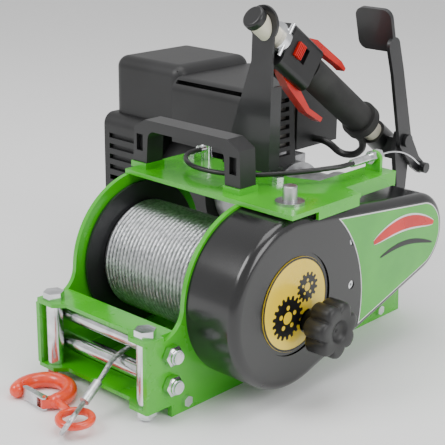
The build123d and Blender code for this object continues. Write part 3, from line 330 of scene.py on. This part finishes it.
# The eye's own plane: along the ferrule's line, and as wide as the thimble.
EYE_START = Vector((0.027, -0.164, 0.020))
EYE_TIP = Vector((0.044, -0.204, 0.011))
EYE_SIGHT = Vector((-0.688, 0.554, -0.468))
EYE_RADIUS = 0.0135
EYE_ROPE = 0.0044            # thickness of the rope in the eye
EYE_NECK = 0.0018            # from the eye's middle line to each leg, at the ferrule
LINER_WIDTH = 0.0046
LINER_SHEET = 0.0008
LINER_GAP = 0.0002
LINER_NECK = 0.0008
eye_along = (EYE_TIP - EYE_START).normalized()
eye_wide = (EYE_SIGHT - eye_along * EYE_SIGHT.dot(eye_along)).normalized()
eye_normal = eye_wide.cross(eye_along)
eye_reach = (EYE_TIP - EYE_START).length - EYE_RADIUS


def eye_loop(radius, neck, rise=0.003, steps=40):
    """A teardrop: two straight legs from the ferrule and an arc round the far end."""
    drop = math.asin((radius - neck) / (eye_reach - rise))
    turns = [math.pi + drop - step * (math.pi + 2 * drop) / steps for step in range(steps + 1)]
    arc = [EYE_START + eye_along * (eye_reach + radius * math.sin(turn)) + eye_wide * radius * math.cos(turn)
           for turn in turns]
    legs = [EYE_START + eye_along * rise + eye_wide * side * neck for side in (-1, 1)]
    return legs[:1] + arc + legs[1:]


eye_line = route_curve("eye_line", eye_loop(EYE_RADIUS - EYE_ROPE / 2, EYE_NECK), smooth=False)
rope_eye = grown("rope_eye", eye_line, laid_strands, finish=galvanised_strand, rope_radius=EYE_ROPE / 2,
                 step=FREE_STEP)
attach(rope_eye, "frame")
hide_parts("thimble")

pressed_zinc = finish_of("pressed_zinc", (0.52, 0.53, 0.55), (0.72, 0.73, 0.75), 0.26, metallic=1.0, mottle=120,
                         grain=1500, depth=0.00003)
liner_inside = eye_loop(EYE_RADIUS - EYE_ROPE - LINER_GAP, LINER_NECK)
liner_mesh = bpy.data.meshes.new("eye_liner")
liner_points = [point + eye_normal * side * LINER_WIDTH / 2 for point in liner_inside for side in (-1, 1)]
liner_mesh.from_pydata(liner_points, [], [(2 * k, 2 * k + 1, 2 * k + 3, 2 * k + 2)
                                          for k in range(len(liner_inside) - 1)])
eye_liner = bpy.data.objects.new("eye_liner", liner_mesh)
bpy.context.scene.collection.objects.link(eye_liner)


def with_thickness(piece, thickness):
    """Give a sheet its thickness, half on each side, for good."""
    sheet = piece.modifiers.new("sheet", "SOLIDIFY")
    sheet.thickness = thickness
    sheet.offset = 0
    bpy.context.view_layer.update()
    solid = bpy.data.meshes.new_from_object(piece.evaluated_get(bpy.context.evaluated_depsgraph_get()))
    piece.modifiers.clear()
    piece.data = solid
    return piece


with_thickness(eye_liner, LINER_SHEET)
eye_liner.data.materials.append(pressed_zinc)
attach(eye_liner, "frame")


# ---------------------------------------------------------------- hook and gate
# A forged eye hook, powder coated orange, lying on its side on the floor.
# The gate is folded from nickel-plated strip and turns on a pin through the hook's lug.
hook_coating = finish_of("hook_coating", (0.78, 0.035, 0.006), (0.95, 0.075, 0.012), 0.30, mottle=90, grain=700,
                         depth=0.00012, coat=0.6)
coat_node(hook_coating, "hook_orange", "hook_body")
coat_node(pressed_zinc, "nickel_gate", "hook_latch")


# ---------------------------------------------------------------- frame sheet metal
# Laser-cut and folded steel, powder coated bright green: two side plates, a base tray, the
# top plate with its cable ear, and the two flanges that carry the fairlead rollers.
green_coat = finish_of("green_coat", (0.040, 0.38, 0.006), (0.058, 0.47, 0.010), 0.27, mottle=14, grain=1100,
                       depth=0.00004, coat=0.5)
coat_node(green_coat, "green_paint", "side_plate_left", "side_plate_right", "fairlead_flanges", "base_tray",
          "top_plate")

# The folded post, the rear bracket, the lever, the drum and the plate over the gears are coated black.
black_coat = finish_of("black_coat", (0.010, 0.010, 0.011), (0.020, 0.020, 0.022), 0.34, mottle=20, grain=1300,
                       depth=0.00004, coat=0.25)
coat_node(black_coat, "black_steel", "control_post", "lever_bracket", "clutch_lever", "drum", "gear_bridge")


# ---------------------------------------------------------------- drum bearings, gears and belt
# Turned steel bearing flanges, shafts and cut gears, a rubber vee belt and cast pulley and engine
# metal, mostly out of sight. The anchor stud on the top plate is turned from the same steel.
turned_steel = finish_of("turned_steel", (0.34, 0.34, 0.35), (0.55, 0.55, 0.56), 0.32, metallic=1.0, mottle=80,
                         grain=500, depth=0.00005, stretch=(6, 1, 1))
belt_rubber = finish_of("belt_rubber", (0.012, 0.012, 0.012), (0.025, 0.025, 0.025), 0.75, mottle=60, grain=900,
                        depth=0.00010)
coat_node(turned_steel, "machined_steel", "bearings", "drum_gear", "layshaft", "engine_pulley", "crankshaft",
          "anchor_stud")
cast_metal = finish_of("cast_metal", (0.36, 0.36, 0.37), (0.52, 0.52, 0.53), 0.48, metallic=0.9, mottle=110,
                       grain=620, depth=0.00030)
coat_node(cast_metal, "cast_alloy", "drive_pulley", "crankcase", "cylinder", "flywheel_fan")
coat_node(belt_rubber, "belt_rubber", "drive_belt")


# ---------------------------------------------------------------- rollers, bolts and nuts
# Four zinc-plated tube rollers turn on M12 bolts; the bolts have chamfered hexagon heads
# and locking nuts with a nylon ring in the collar.
bright_zinc = finish_of("bright_zinc", (0.62, 0.63, 0.65), (0.86, 0.87, 0.89), 0.17, metallic=1.0, mottle=70,
                        grain=420, depth=0.00003, wander=0.06)
coat_node(bright_zinc, "zinc_steel", "roller_left", "roller_right", "roller_bottom", "roller_top", "roller_bolts")
NUT_ACROSS = 0.018
NUT_HEIGHT = 0.010
BOLT_RADIUS = 0.006
NYLON_RADIUS = 0.375 * NUT_ACROSS
NYLON_THICKNESS = 0.0006
NYLON_SUNK = 0.0004
nylon = finish_of("nylon", (0.55, 0.62, 0.66), (0.66, 0.72, 0.75), 0.42, mottle=200, grain=1500, depth=0.00004)


def turned_mesh(name, rings, sides=48, shape=None):
    """Rings of (radius, height) joined into a closed skin round Z. shape scales a ring's radius by angle."""
    mesh = bpy.data.meshes.new(name)
    points, faces = [], []
    for row, (radius, height) in enumerate(rings):
        for side in range(sides):
            angle = 2 * math.pi * side / sides
            reach = radius if shape is None else shape(row, radius, angle)
            points.append((reach * math.cos(angle), reach * math.sin(angle), height))
    for row in range(len(rings)):
        after = (row + 1) % len(rings)
        for side in range(sides):
            beside = (side + 1) % sides
            faces.append((row * sides + side, row * sides + beside, after * sides + beside, after * sides + side))
    mesh.from_pydata(points, [], faces)
    for polygon in mesh.polygons:
        polygon.use_smooth = True
    return mesh


def hexagon_reach(across, angle):
    """Distance from the middle of a hexagon to its side at an angle."""
    turn = (angle + math.pi / 6) % (math.pi / 3) - math.pi / 6
    return across / 2 / math.cos(turn)


def lock_nut_mesh(across, height, bore):
    """A hexagon with turned chamfers, and a round collar that holds the nylon ring."""
    collar = 0.30 * height
    hexagon_rows = (1, 2)
    rings = [(across * 0.47, 0), (1, height * 0.08), (1, height - collar - height * 0.06),
             (across * 0.47, height - collar), (across * 0.41, height - collar * 0.75),
             (across * 0.40, height * 0.96), (across * 0.37, height), (bore, height), (bore, 0)]
    return turned_mesh("lock_nut", rings, 96,
                       lambda row, radius, angle: hexagon_reach(across, angle) if row in hexagon_rows else radius)


def placed(name, mesh, matrix):
    """A piece whose mesh is put in its place, with outward faces and its object at the origin."""
    mesh = mesh.copy()
    mesh.transform(matrix)
    shell = bmesh.new()
    shell.from_mesh(mesh)
    bmesh.ops.recalc_face_normals(shell, faces=shell.faces)
    shell.to_mesh(mesh)
    shell.free()
    piece = bpy.data.objects.new(name, mesh)
    bpy.context.scene.collection.objects.link(piece)
    return piece


def sharpen(piece, degrees=35):
    """Keep the creases between faces that meet at more than an angle."""
    shell = bmesh.new()
    shell.from_mesh(piece.data)
    for edge in shell.edges:
        edge.smooth = edge.calc_face_angle(0.0) < math.radians(degrees)
    shell.to_mesh(piece.data)
    shell.free()
    return piece


def joined(name, pieces):
    """Several pieces made one."""
    with bpy.context.temp_override(active_object=pieces[0], selected_editable_objects=pieces, object=pieces[0]):
        bpy.ops.object.join()
    pieces[0].name = name
    return pieces[0]


nuts_low, nuts_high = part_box("roller_nuts")
roller_axes = [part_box(name) for name in ("roller_left", "roller_right", "roller_bottom", "roller_top")]
side_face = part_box("side_plate_right")[1].x
nut_places = []
for low, high in roller_axes[:2]:
    nut_places.append(Matrix.Translation(((low.x + high.x) / 2, (low.y + high.y) / 2, nuts_low.z + NUT_HEIGHT))
                      @ Matrix.Rotation(math.pi, 4, "X"))
for low, high in roller_axes[2:]:
    nut_places.append(Matrix.Translation((side_face, (low.y + high.y) / 2, (low.z + high.z) / 2))
                      @ Matrix.Rotation(math.pi / 2, 4, "Y"))
nut_mesh = lock_nut_mesh(NUT_ACROSS, NUT_HEIGHT, BOLT_RADIUS)
ring_mesh = turned_mesh("nylon_ring", [(NYLON_RADIUS, 0), (NYLON_RADIUS, NYLON_THICKNESS),
                                       (BOLT_RADIUS, NYLON_THICKNESS), (BOLT_RADIUS, 0)])
lock_nuts = joined("lock_nuts", [sharpen(placed("nut", nut_mesh, place)) for place in nut_places])
lock_nuts.data.materials.append(bright_zinc)
ring_lift = Matrix.Translation((0, 0, NUT_HEIGHT - NYLON_SUNK))
nylon_rings = joined("nylon_rings", [placed("ring", ring_mesh, place @ ring_lift) for place in nut_places])
nylon_rings.data.materials.append(nylon)
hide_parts("roller_nuts")
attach(lock_nuts, "frame")
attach(nylon_rings, "frame")


# ---------------------------------------------------------------- rope on the drum
# The outer layer of rope lies in even turns from flange to flange, each turn pressed against
# the one before. The strands are laid as in the free end.
TURNS = 27
TURN_POINTS = 96
WOUND_STEP = 0.0030
WOUND_SECTION = 18
UNDER_DROP = 0.0003          # the layer below starts this far under the middle of the top turns
CORE_RADIUS = 0.031
pack_low, pack_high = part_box("rope_wound")
drum_middle = (pack_low + pack_high) / 2
pack_radius = (pack_high.z - pack_low.z) / 2
wrap_radius = pack_radius - ROPE_DIAMETER / 2
wrap_pitch = (pack_high.x - pack_low.x - ROPE_DIAMETER) / TURNS
wrap_points = []
for step in range(TURNS * TURN_POINTS + 1):
    angle = 2 * math.pi * step / TURN_POINTS
    wrap_points.append((pack_low.x + ROPE_DIAMETER / 2 + wrap_pitch * step / TURN_POINTS,
                        wrap_radius * math.cos(angle), drum_middle.z + wrap_radius * math.sin(angle)))
wound_line = route_curve("wound_line", wrap_points, smooth=False)
wound_rope = grown("wound_rope", wound_line, laid_strands, finish=galvanised_strand,
                   rope_radius=ROPE_DIAMETER / 2, step=WOUND_STEP, section_points=WOUND_SECTION)
under_radius = wrap_radius - UNDER_DROP
under_rings = [(under_radius, pack_low.x), (under_radius, pack_high.x), (CORE_RADIUS, pack_high.x),
               (CORE_RADIUS, pack_low.x)]
under_layer = placed("under_layer", turned_mesh("under_layer", under_rings, 96),
                     Matrix.Translation((0, 0, drum_middle.z)) @ Matrix.Rotation(math.pi / 2, 4, "Y"))
sharpen(under_layer)
under_layer.data.materials.append(galvanised_strand)
for piece in (wound_rope, under_layer):
    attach(piece, "drum_assembly")
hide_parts("rope_wound")


# ---------------------------------------------------------------- gear cover and its side panel
# A deep-drawn cover over the belt and gears, in semi-gloss black. A green printed panel is stuck
# on the flat of its tail, edged in white, with a red sweep outlined in white and a thin black one below.
shell_black = finish_of("shell_black", (0.0075, 0.0075, 0.008), (0.013, 0.013, 0.014), 0.24, mottle=9,
                        grain=1000, depth=0.00003, coat=0.35)
coat_node(shell_black, "black_plastic", "gear_cover")
cover_low, cover_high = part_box("gear_cover")
DRUM_ROUND = 0.0845
TAIL_ROUND = 0.044
TAIL_HEIGHT = 0.117
PANEL_INSET = 0.0098
PANEL_ARC = 0.124
PANEL_ARC_MIDDLE = Vector((-0.021, 0.076))
PANEL_BORDER = 0.0012
SWEEP_START = Vector((0.118, 0.130))
SWEEP_END = Vector((0.224, 0.127))
SWEEP_RISE = 0.010
SWEEP_STEPS = 24
SWEEP_WIDTH = 0.0135
SWEEP_OUTLINED = 0.0175
LOW_SWEEP_DROP = 0.022
LOW_SWEEP_START = 3          # steps along the sweep
LOW_SWEEP_WIDTH = 0.0055
FILM = 0.00025
front_circle = Vector((cover_low.y + DRUM_ROUND, cover_low.z + DRUM_ROUND))
tail_circle = Vector((cover_high.y - TAIL_ROUND, TAIL_HEIGHT))
cover_slope = math.atan2(tail_circle.y - front_circle.y, tail_circle.x - front_circle.x)


def panel_outline(inset, arc, steps=36):
    """(y, z) points round the tail's flat, cut by an arc about a point near the drum axis."""
    front, tail = DRUM_ROUND - inset, TAIL_ROUND - inset
    lean = math.acos((front - tail) / (tail_circle - front_circle).length)
    crossings = []
    for side in (1, -1):
        away = Vector((math.cos(cover_slope + side * lean), math.sin(cover_slope + side * lean)))
        start = front_circle + away * front
        run = (tail_circle + away * tail) - start
        offset = start - PANEL_ARC_MIDDLE
        half_b, c = offset.dot(run), offset.length_squared - arc * arc
        share = (-half_b + math.sqrt(half_b ** 2 - run.length_squared * c)) / run.length_squared
        crossings.append(start + run * share)
    top, low = [math.atan2(*(point - PANEL_ARC_MIDDLE).yx) for point in crossings]
    points = [PANEL_ARC_MIDDLE + arc * Vector((math.cos(a), math.sin(a)))
              for a in (low + (top - low) * k / steps for k in range(steps + 1))]
    for k in range(steps + 1):
        a = cover_slope + lean - 2 * lean * k / steps
        points.append(tail_circle + tail * Vector((math.cos(a), math.sin(a))))
    return points


def film_patch(name, outline, x, finish, body, thickness=FILM):
    """A thin flat piece of film with a (y, z) outline, facing +X at x."""
    mesh = bpy.data.meshes.new(name)
    count = len(outline)
    points = [(x + lift, y, z) for lift in (0, thickness) for y, z in outline]
    sides = [(k, (k + 1) % count, count + (k + 1) % count, count + k) for k in range(count)]
    mesh.from_pydata(points, [], [tuple(range(count)), tuple(range(count, 2 * count))] + sides)
    piece = placed(name, mesh, Matrix.Identity(4))
    piece.data.materials.append(finish)
    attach(piece, body)
    return piece


def band_outline(line, width):
    """The outline of a strip that follows a (y, z) line and narrows to its ends."""
    left, right = [], []
    for k, point in enumerate(line):
        before, after = line[max(k - 1, 0)], line[min(k + 1, len(line) - 1)]
        across = Vector((before.y - after.y, after.x - before.x)).normalized()
        half = width / 2 * math.sin(math.pi * (k + 0.6) / (len(line) + 0.2)) ** 0.5
        left.append(point + across * half)
        right.append(point - across * half)
    return left + right[::-1]


printed_green = finish_of("printed_green", (0.030, 0.36, 0.010), (0.045, 0.45, 0.014), 0.22, mottle=18, grain=600,
                          depth=0.00001, coat=0.6)
printed_white = finish_of("printed_white", (0.70, 0.70, 0.70), (0.82, 0.82, 0.82), 0.30, mottle=30, grain=600,
                          depth=0.00001)
printed_red = finish_of("printed_red", (0.55, 0.010, 0.010), (0.70, 0.018, 0.014), 0.28, mottle=30, grain=600,
                        depth=0.00001)
printed_black = finish_of("printed_black", (0.006, 0.006, 0.006), (0.010, 0.010, 0.010), 0.30, mottle=30,
                          grain=600, depth=0.00001)
face_x = cover_high.x
sweep_line = [SWEEP_START.lerp(SWEEP_END, k / SWEEP_STEPS)
              + Vector((0, SWEEP_RISE * math.sin(math.pi * k / SWEEP_STEPS))) for k in range(SWEEP_STEPS + 1)]
low_line = [point - Vector((0, LOW_SWEEP_DROP)) for point in sweep_line[LOW_SWEEP_START:]]
PANEL_FILMS = (
    ("panel_edge", panel_outline(PANEL_INSET - PANEL_BORDER, PANEL_ARC - PANEL_BORDER), 0, printed_white),
    ("panel_green", panel_outline(PANEL_INSET, PANEL_ARC), 1, printed_green),
    ("sweep_white", band_outline(sweep_line, SWEEP_OUTLINED), 2, printed_white),
    ("sweep_red", band_outline(sweep_line, SWEEP_WIDTH), 3, printed_red),
    ("low_band", band_outline(low_line, LOW_SWEEP_WIDTH), 2, printed_black))
for film_name, outline, layer, ink in PANEL_FILMS:
    film_patch(film_name, outline, face_x + layer * FILM, ink, "frame")
coat_node(bright_zinc, "zinc_steel", "cover_screws")


# ---------------------------------------------------------------- dial
# A printed yellow disc in the cover's recess, with a black edge and two gears that show the
# two positions of the knob. Each drawn gear has a ring of round holes.
# Each gear has its name, middle, teeth, tip, root, hub, and the outer edge of its ring of holes.
GEAR_PRINTS = (("large", Vector((-0.011, 0.0885)), 18, 0.0215, 0.0178, 0.0062, 0.0120),
               ("small", Vector((0.0165, 0.1120)), 14, 0.0148, 0.0118, 0.0042, 0.0080))
TOOTH_POINTS = 12
GEAR_HOLES = 5
HOLE_CIRCLE = 0.56           # share of the hub plus the outer edge
HOLE_SIZE = 0.40             # share of the width of the ring of holes
HOLE_FILM = 0.0001
HOLE_SIDES = 20
PIN_POINT = 0.00002          # a ring with this inner radius looks like a full disc
EDGE_OUTER = 0.0002          # in from the disc's rim
EDGE_INNER = 0.0022
dial_yellow = finish_of("dial_yellow", (0.80, 0.56, 0.022), (0.90, 0.66, 0.035), 0.30, mottle=12, grain=700,
                        depth=0.00001, coat=0.4)
coat_node(dial_yellow, "dial_yellow", "dial_plate")
dial_low, dial_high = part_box("dial_plate")
dial_middle = Vector(((dial_low.y + dial_high.y) / 2, (dial_low.z + dial_high.z) / 2))
dial_radius = (dial_high.z - dial_low.z) / 2


def flat_ring(name, middle, outer, inner, steps, x, finish, body, thickness=FILM):
    """A flat ring facing +X, its outer reach a function of the angle."""
    mesh = bpy.data.meshes.new(name)
    points, faces = [], []
    for lift in (0, thickness):
        for reach in (outer, inner):
            for k in range(steps):
                angle = 2 * math.pi * k / steps
                points.append((x + lift, middle.x + reach(angle) * math.cos(angle),
                               middle.y + reach(angle) * math.sin(angle)))
    for k in range(steps):
        after = (k + 1) % steps
        for a, b in ((0, 1), (1, 3), (3, 2), (2, 0)):
            faces.append((a * steps + k, a * steps + after, b * steps + after, b * steps + k))
    mesh.from_pydata(points, [], faces)
    piece = placed(name, mesh, Matrix.Identity(4))
    piece.data.materials.append(finish)
    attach(piece, body)
    return piece


def toothed(teeth, tip, root):
    """The reach of a drawn gear: flat tips and roots with sloping flanks."""
    def reach(angle):
        share = (angle * teeth / (2 * math.pi)) % 1
        rise = min(max((0.5 - abs(share - 0.5)) * 7 - 1.2, 0), 1)
        return root + (tip - root) * rise
    return reach


def circle(radius):
    """The reach of a plain round edge."""
    return lambda angle: radius


dial_x = dial_high.x
flat_ring("dial_edge", dial_middle, circle(dial_radius - EDGE_OUTER), circle(dial_radius - EDGE_INNER), 96,
          dial_x, printed_black, "frame")
for label, gear_middle, teeth, tip, root, hub, eye in GEAR_PRINTS:
    flat_ring(f"{label}_gear_print", gear_middle, toothed(teeth, tip, root), circle(hub), teeth * TOOTH_POINTS,
              dial_x, printed_black, "frame")
    for hole in range(GEAR_HOLES):
        turn = 2 * math.pi * (hole + 0.25) / GEAR_HOLES
        hole_middle = gear_middle + (hub + eye) * HOLE_CIRCLE * Vector((math.cos(turn), math.sin(turn)))
        flat_ring(f"{label}_gear_hole_{hole}", hole_middle, circle((eye - hub) * HOLE_SIZE), circle(PIN_POINT),
                  HOLE_SIDES, dial_x + FILM, dial_yellow, "frame", thickness=HOLE_FILM)


# ---------------------------------------------------------------- star knob
# A moulded seven-lobe knob with rounded lobes, a dished face and a neck into the cover.
KNOB_LOBES = 7
KNOB_DEPTH = 0.0250
KNOB_RADIUS = 0.028
KNOB_AXIS = (0.01879, 0.07724)       # y, z
KNOB_SIDES = 140
EDGE = 0.0030                # rounding of the head's edges
NECK_RADIUS = 0.0105
NECK_LIFT = 0.0006           # clear of the cover
LOBE_CUT = 0.235             # how far the hollows between lobes go in
LOBE_POWER = 0.75            # below 1, the lobes are full and the hollows narrow
knob_plastic = finish_of("knob_plastic", (0.010, 0.010, 0.010), (0.017, 0.017, 0.017), 0.42, mottle=40, grain=1500,
                         depth=0.00006)
knob_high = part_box("gear_knob")[1]


def star_reach(row, radius, angle):
    """A ring of the knob: round in the neck and dish, lobed in the head."""
    lobed = STAR_ROWS[row]
    wave = abs(math.cos(angle * KNOB_LOBES / 2)) ** LOBE_POWER
    return radius * (1 - lobed * LOBE_CUT * (1 - wave))


neck_foot = cover_high.x + NECK_LIFT
head_start = knob_high.x - KNOB_DEPTH
knob_face = knob_high.x
# Each ring has its radius, its place along the axis, and how far it takes the lobed shape.
knob_rings = [(NECK_RADIUS, neck_foot, 0), (NECK_RADIUS, head_start, 0),
              (KNOB_RADIUS - 2.0 * EDGE, head_start, 0.7), (KNOB_RADIUS - 0.8 * EDGE, head_start + 0.3 * EDGE, 0.9),
              (KNOB_RADIUS, head_start + 1.3 * EDGE, 1), (KNOB_RADIUS, knob_face - 1.6 * EDGE, 1),
              (KNOB_RADIUS - 0.35 * EDGE, knob_face - 0.55 * EDGE, 1),
              (KNOB_RADIUS - 1.1 * EDGE, knob_face - 0.08 * EDGE, 0.95),
              (KNOB_RADIUS - 2.2 * EDGE, knob_face, 0.8), (0.0125, knob_face - 0.0004, 0.15),
              (0.0105, knob_face - 0.0012, 0), (0.0098, knob_face - 0.0040, 0),
              (0.0030, knob_face - 0.0048, 0), (0.0002, knob_face - 0.0048, 0), (0.0002, neck_foot, 0)]
STAR_ROWS = [lobed for _, _, lobed in knob_rings]
star_mesh = turned_mesh("star_knob", [(radius, height) for radius, height, _ in knob_rings], KNOB_SIDES, star_reach)
star_knob = placed("star_knob", star_mesh,
                   Matrix.Translation((0, *KNOB_AXIS)) @ Matrix.Rotation(math.pi / 2, 4, "Y"))
star_knob.data.materials.append(knob_plastic)
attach(star_knob, "selector")
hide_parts("gear_knob")


# ---------------------------------------------------------------- bridge handle
# The carrying handle is one moulding in satin black plastic, held to the top plate by two
# zinc screws. Its skin has the faint drift in gloss that a large moulding shows.
handle_black = finish_of("handle_black", (0.008, 0.008, 0.0085), (0.015, 0.015, 0.016), 0.33, mottle=10,
                         grain=1600, depth=0.00003)
coat_node(handle_black, "black_plastic", "bridge_handle")
coat_node(bright_zinc, "zinc_steel", "frame_screws")


# ---------------------------------------------------------------- engine mouldings
# Fan housing, hood, filter dome and muffler guard are glass-filled nylon: nearly black, less
# glossy than the gear cover, with a fine spark-eroded texture. The starter grip matches them.
engine_black = finish_of("engine_black", (0.0085, 0.0085, 0.009), (0.017, 0.017, 0.018), 0.46, mottle=16,
                         grain=2200, depth=0.00005)
coat_node(engine_black, "black_plastic", "engine_hood", "air_filter_cover", "starter_housing", "muffler_guard",
          "recoil_handle", "fuel_cap")


# ---------------------------------------------------------------- muffler
# A pressed steel box behind the guard. Heat has dulled the steel and browned it a little,
# unevenly from one side to the other.
heated_steel = finish_of("heated_steel", (0.16, 0.14, 0.125), (0.30, 0.285, 0.27), 0.5, metallic=0.9, mottle=70,
                         grain=900, depth=0.00004)
coat_node(heated_steel, "muffler_steel", "muffler")


# ---------------------------------------------------------------- fuel tank
# A blow-moulded tank in natural polyethylene. It is milky, soft in gloss and slightly uneven
# in tone, as its wall is not equally thick all round.
tank_milk = finish_of("tank_milk", (0.50, 0.49, 0.45), (0.62, 0.61, 0.57), 0.40, mottle=22, grain=1200,
                      depth=0.00004)
coat_node(tank_milk, "tank_plastic", "fuel_tank")


# ---------------------------------------------------------------- handle tube and grip
# The tube is powder-coated cream. The sleeve on it is black rubber, matt and a little dusty,
# and the plug in the tube's end is plain black plastic.
cream_coat = finish_of("cream_coat", (0.66, 0.62, 0.50), (0.74, 0.70, 0.58), 0.36, mottle=18, grain=1100,
                       depth=0.00003)
coat_node(cream_coat, "tube_cream", "handle_tube")
sleeve_rubber = finish_of("sleeve_rubber", (0.014, 0.014, 0.014), (0.028, 0.028, 0.027), 0.72, mottle=45,
                          grain=1400, depth=0.00006)
coat_node(sleeve_rubber, "grip_rubber", "grip_sleeve")
coat_node(handle_black, "black_plastic", "tube_cap")


# ---------------------------------------------------------------- throttle housing
# Two smooth black half shells hold a red trigger, a red lock, a red rocker and an orange
# start button. The coloured parts are through-dyed plastic with a soft shine, and the
# housing's clamp on the tube is bright zinc.
coat_node(handle_black, "black_plastic", "throttle_housing")
coat_node(bright_zinc, "zinc_steel", "housing_clamp")
trigger_red = finish_of("trigger_red", (0.50, 0.012, 0.008), (0.64, 0.022, 0.014), 0.30, mottle=30, grain=1300,
                        depth=0.00003)
coat_node(trigger_red, "red_plastic", "throttle_trigger", "throttle_lock", "stop_switch")
button_orange = finish_of("button_orange", (0.80, 0.13, 0.008), (0.90, 0.18, 0.014), 0.30, mottle=30, grain=1300,
                          depth=0.00003)
coat_node(button_orange, "orange_button", "start_button")


# ---------------------------------------------------------------- control cables
# Both cables run in extruded black jackets. The clutch cable's bare wire and the fittings at
# the cable's ends are zinc plated.
cable_jacket = finish_of("cable_jacket", (0.009, 0.009, 0.009), (0.017, 0.017, 0.017), 0.38, mottle=60,
                         grain=1500, depth=0.00003)
coat_node(cable_jacket, "cable_black", "clutch_cable", "throttle_cable")
coat_node(bright_zinc, "zinc_steel", "clutch_wire", "cable_fittings")
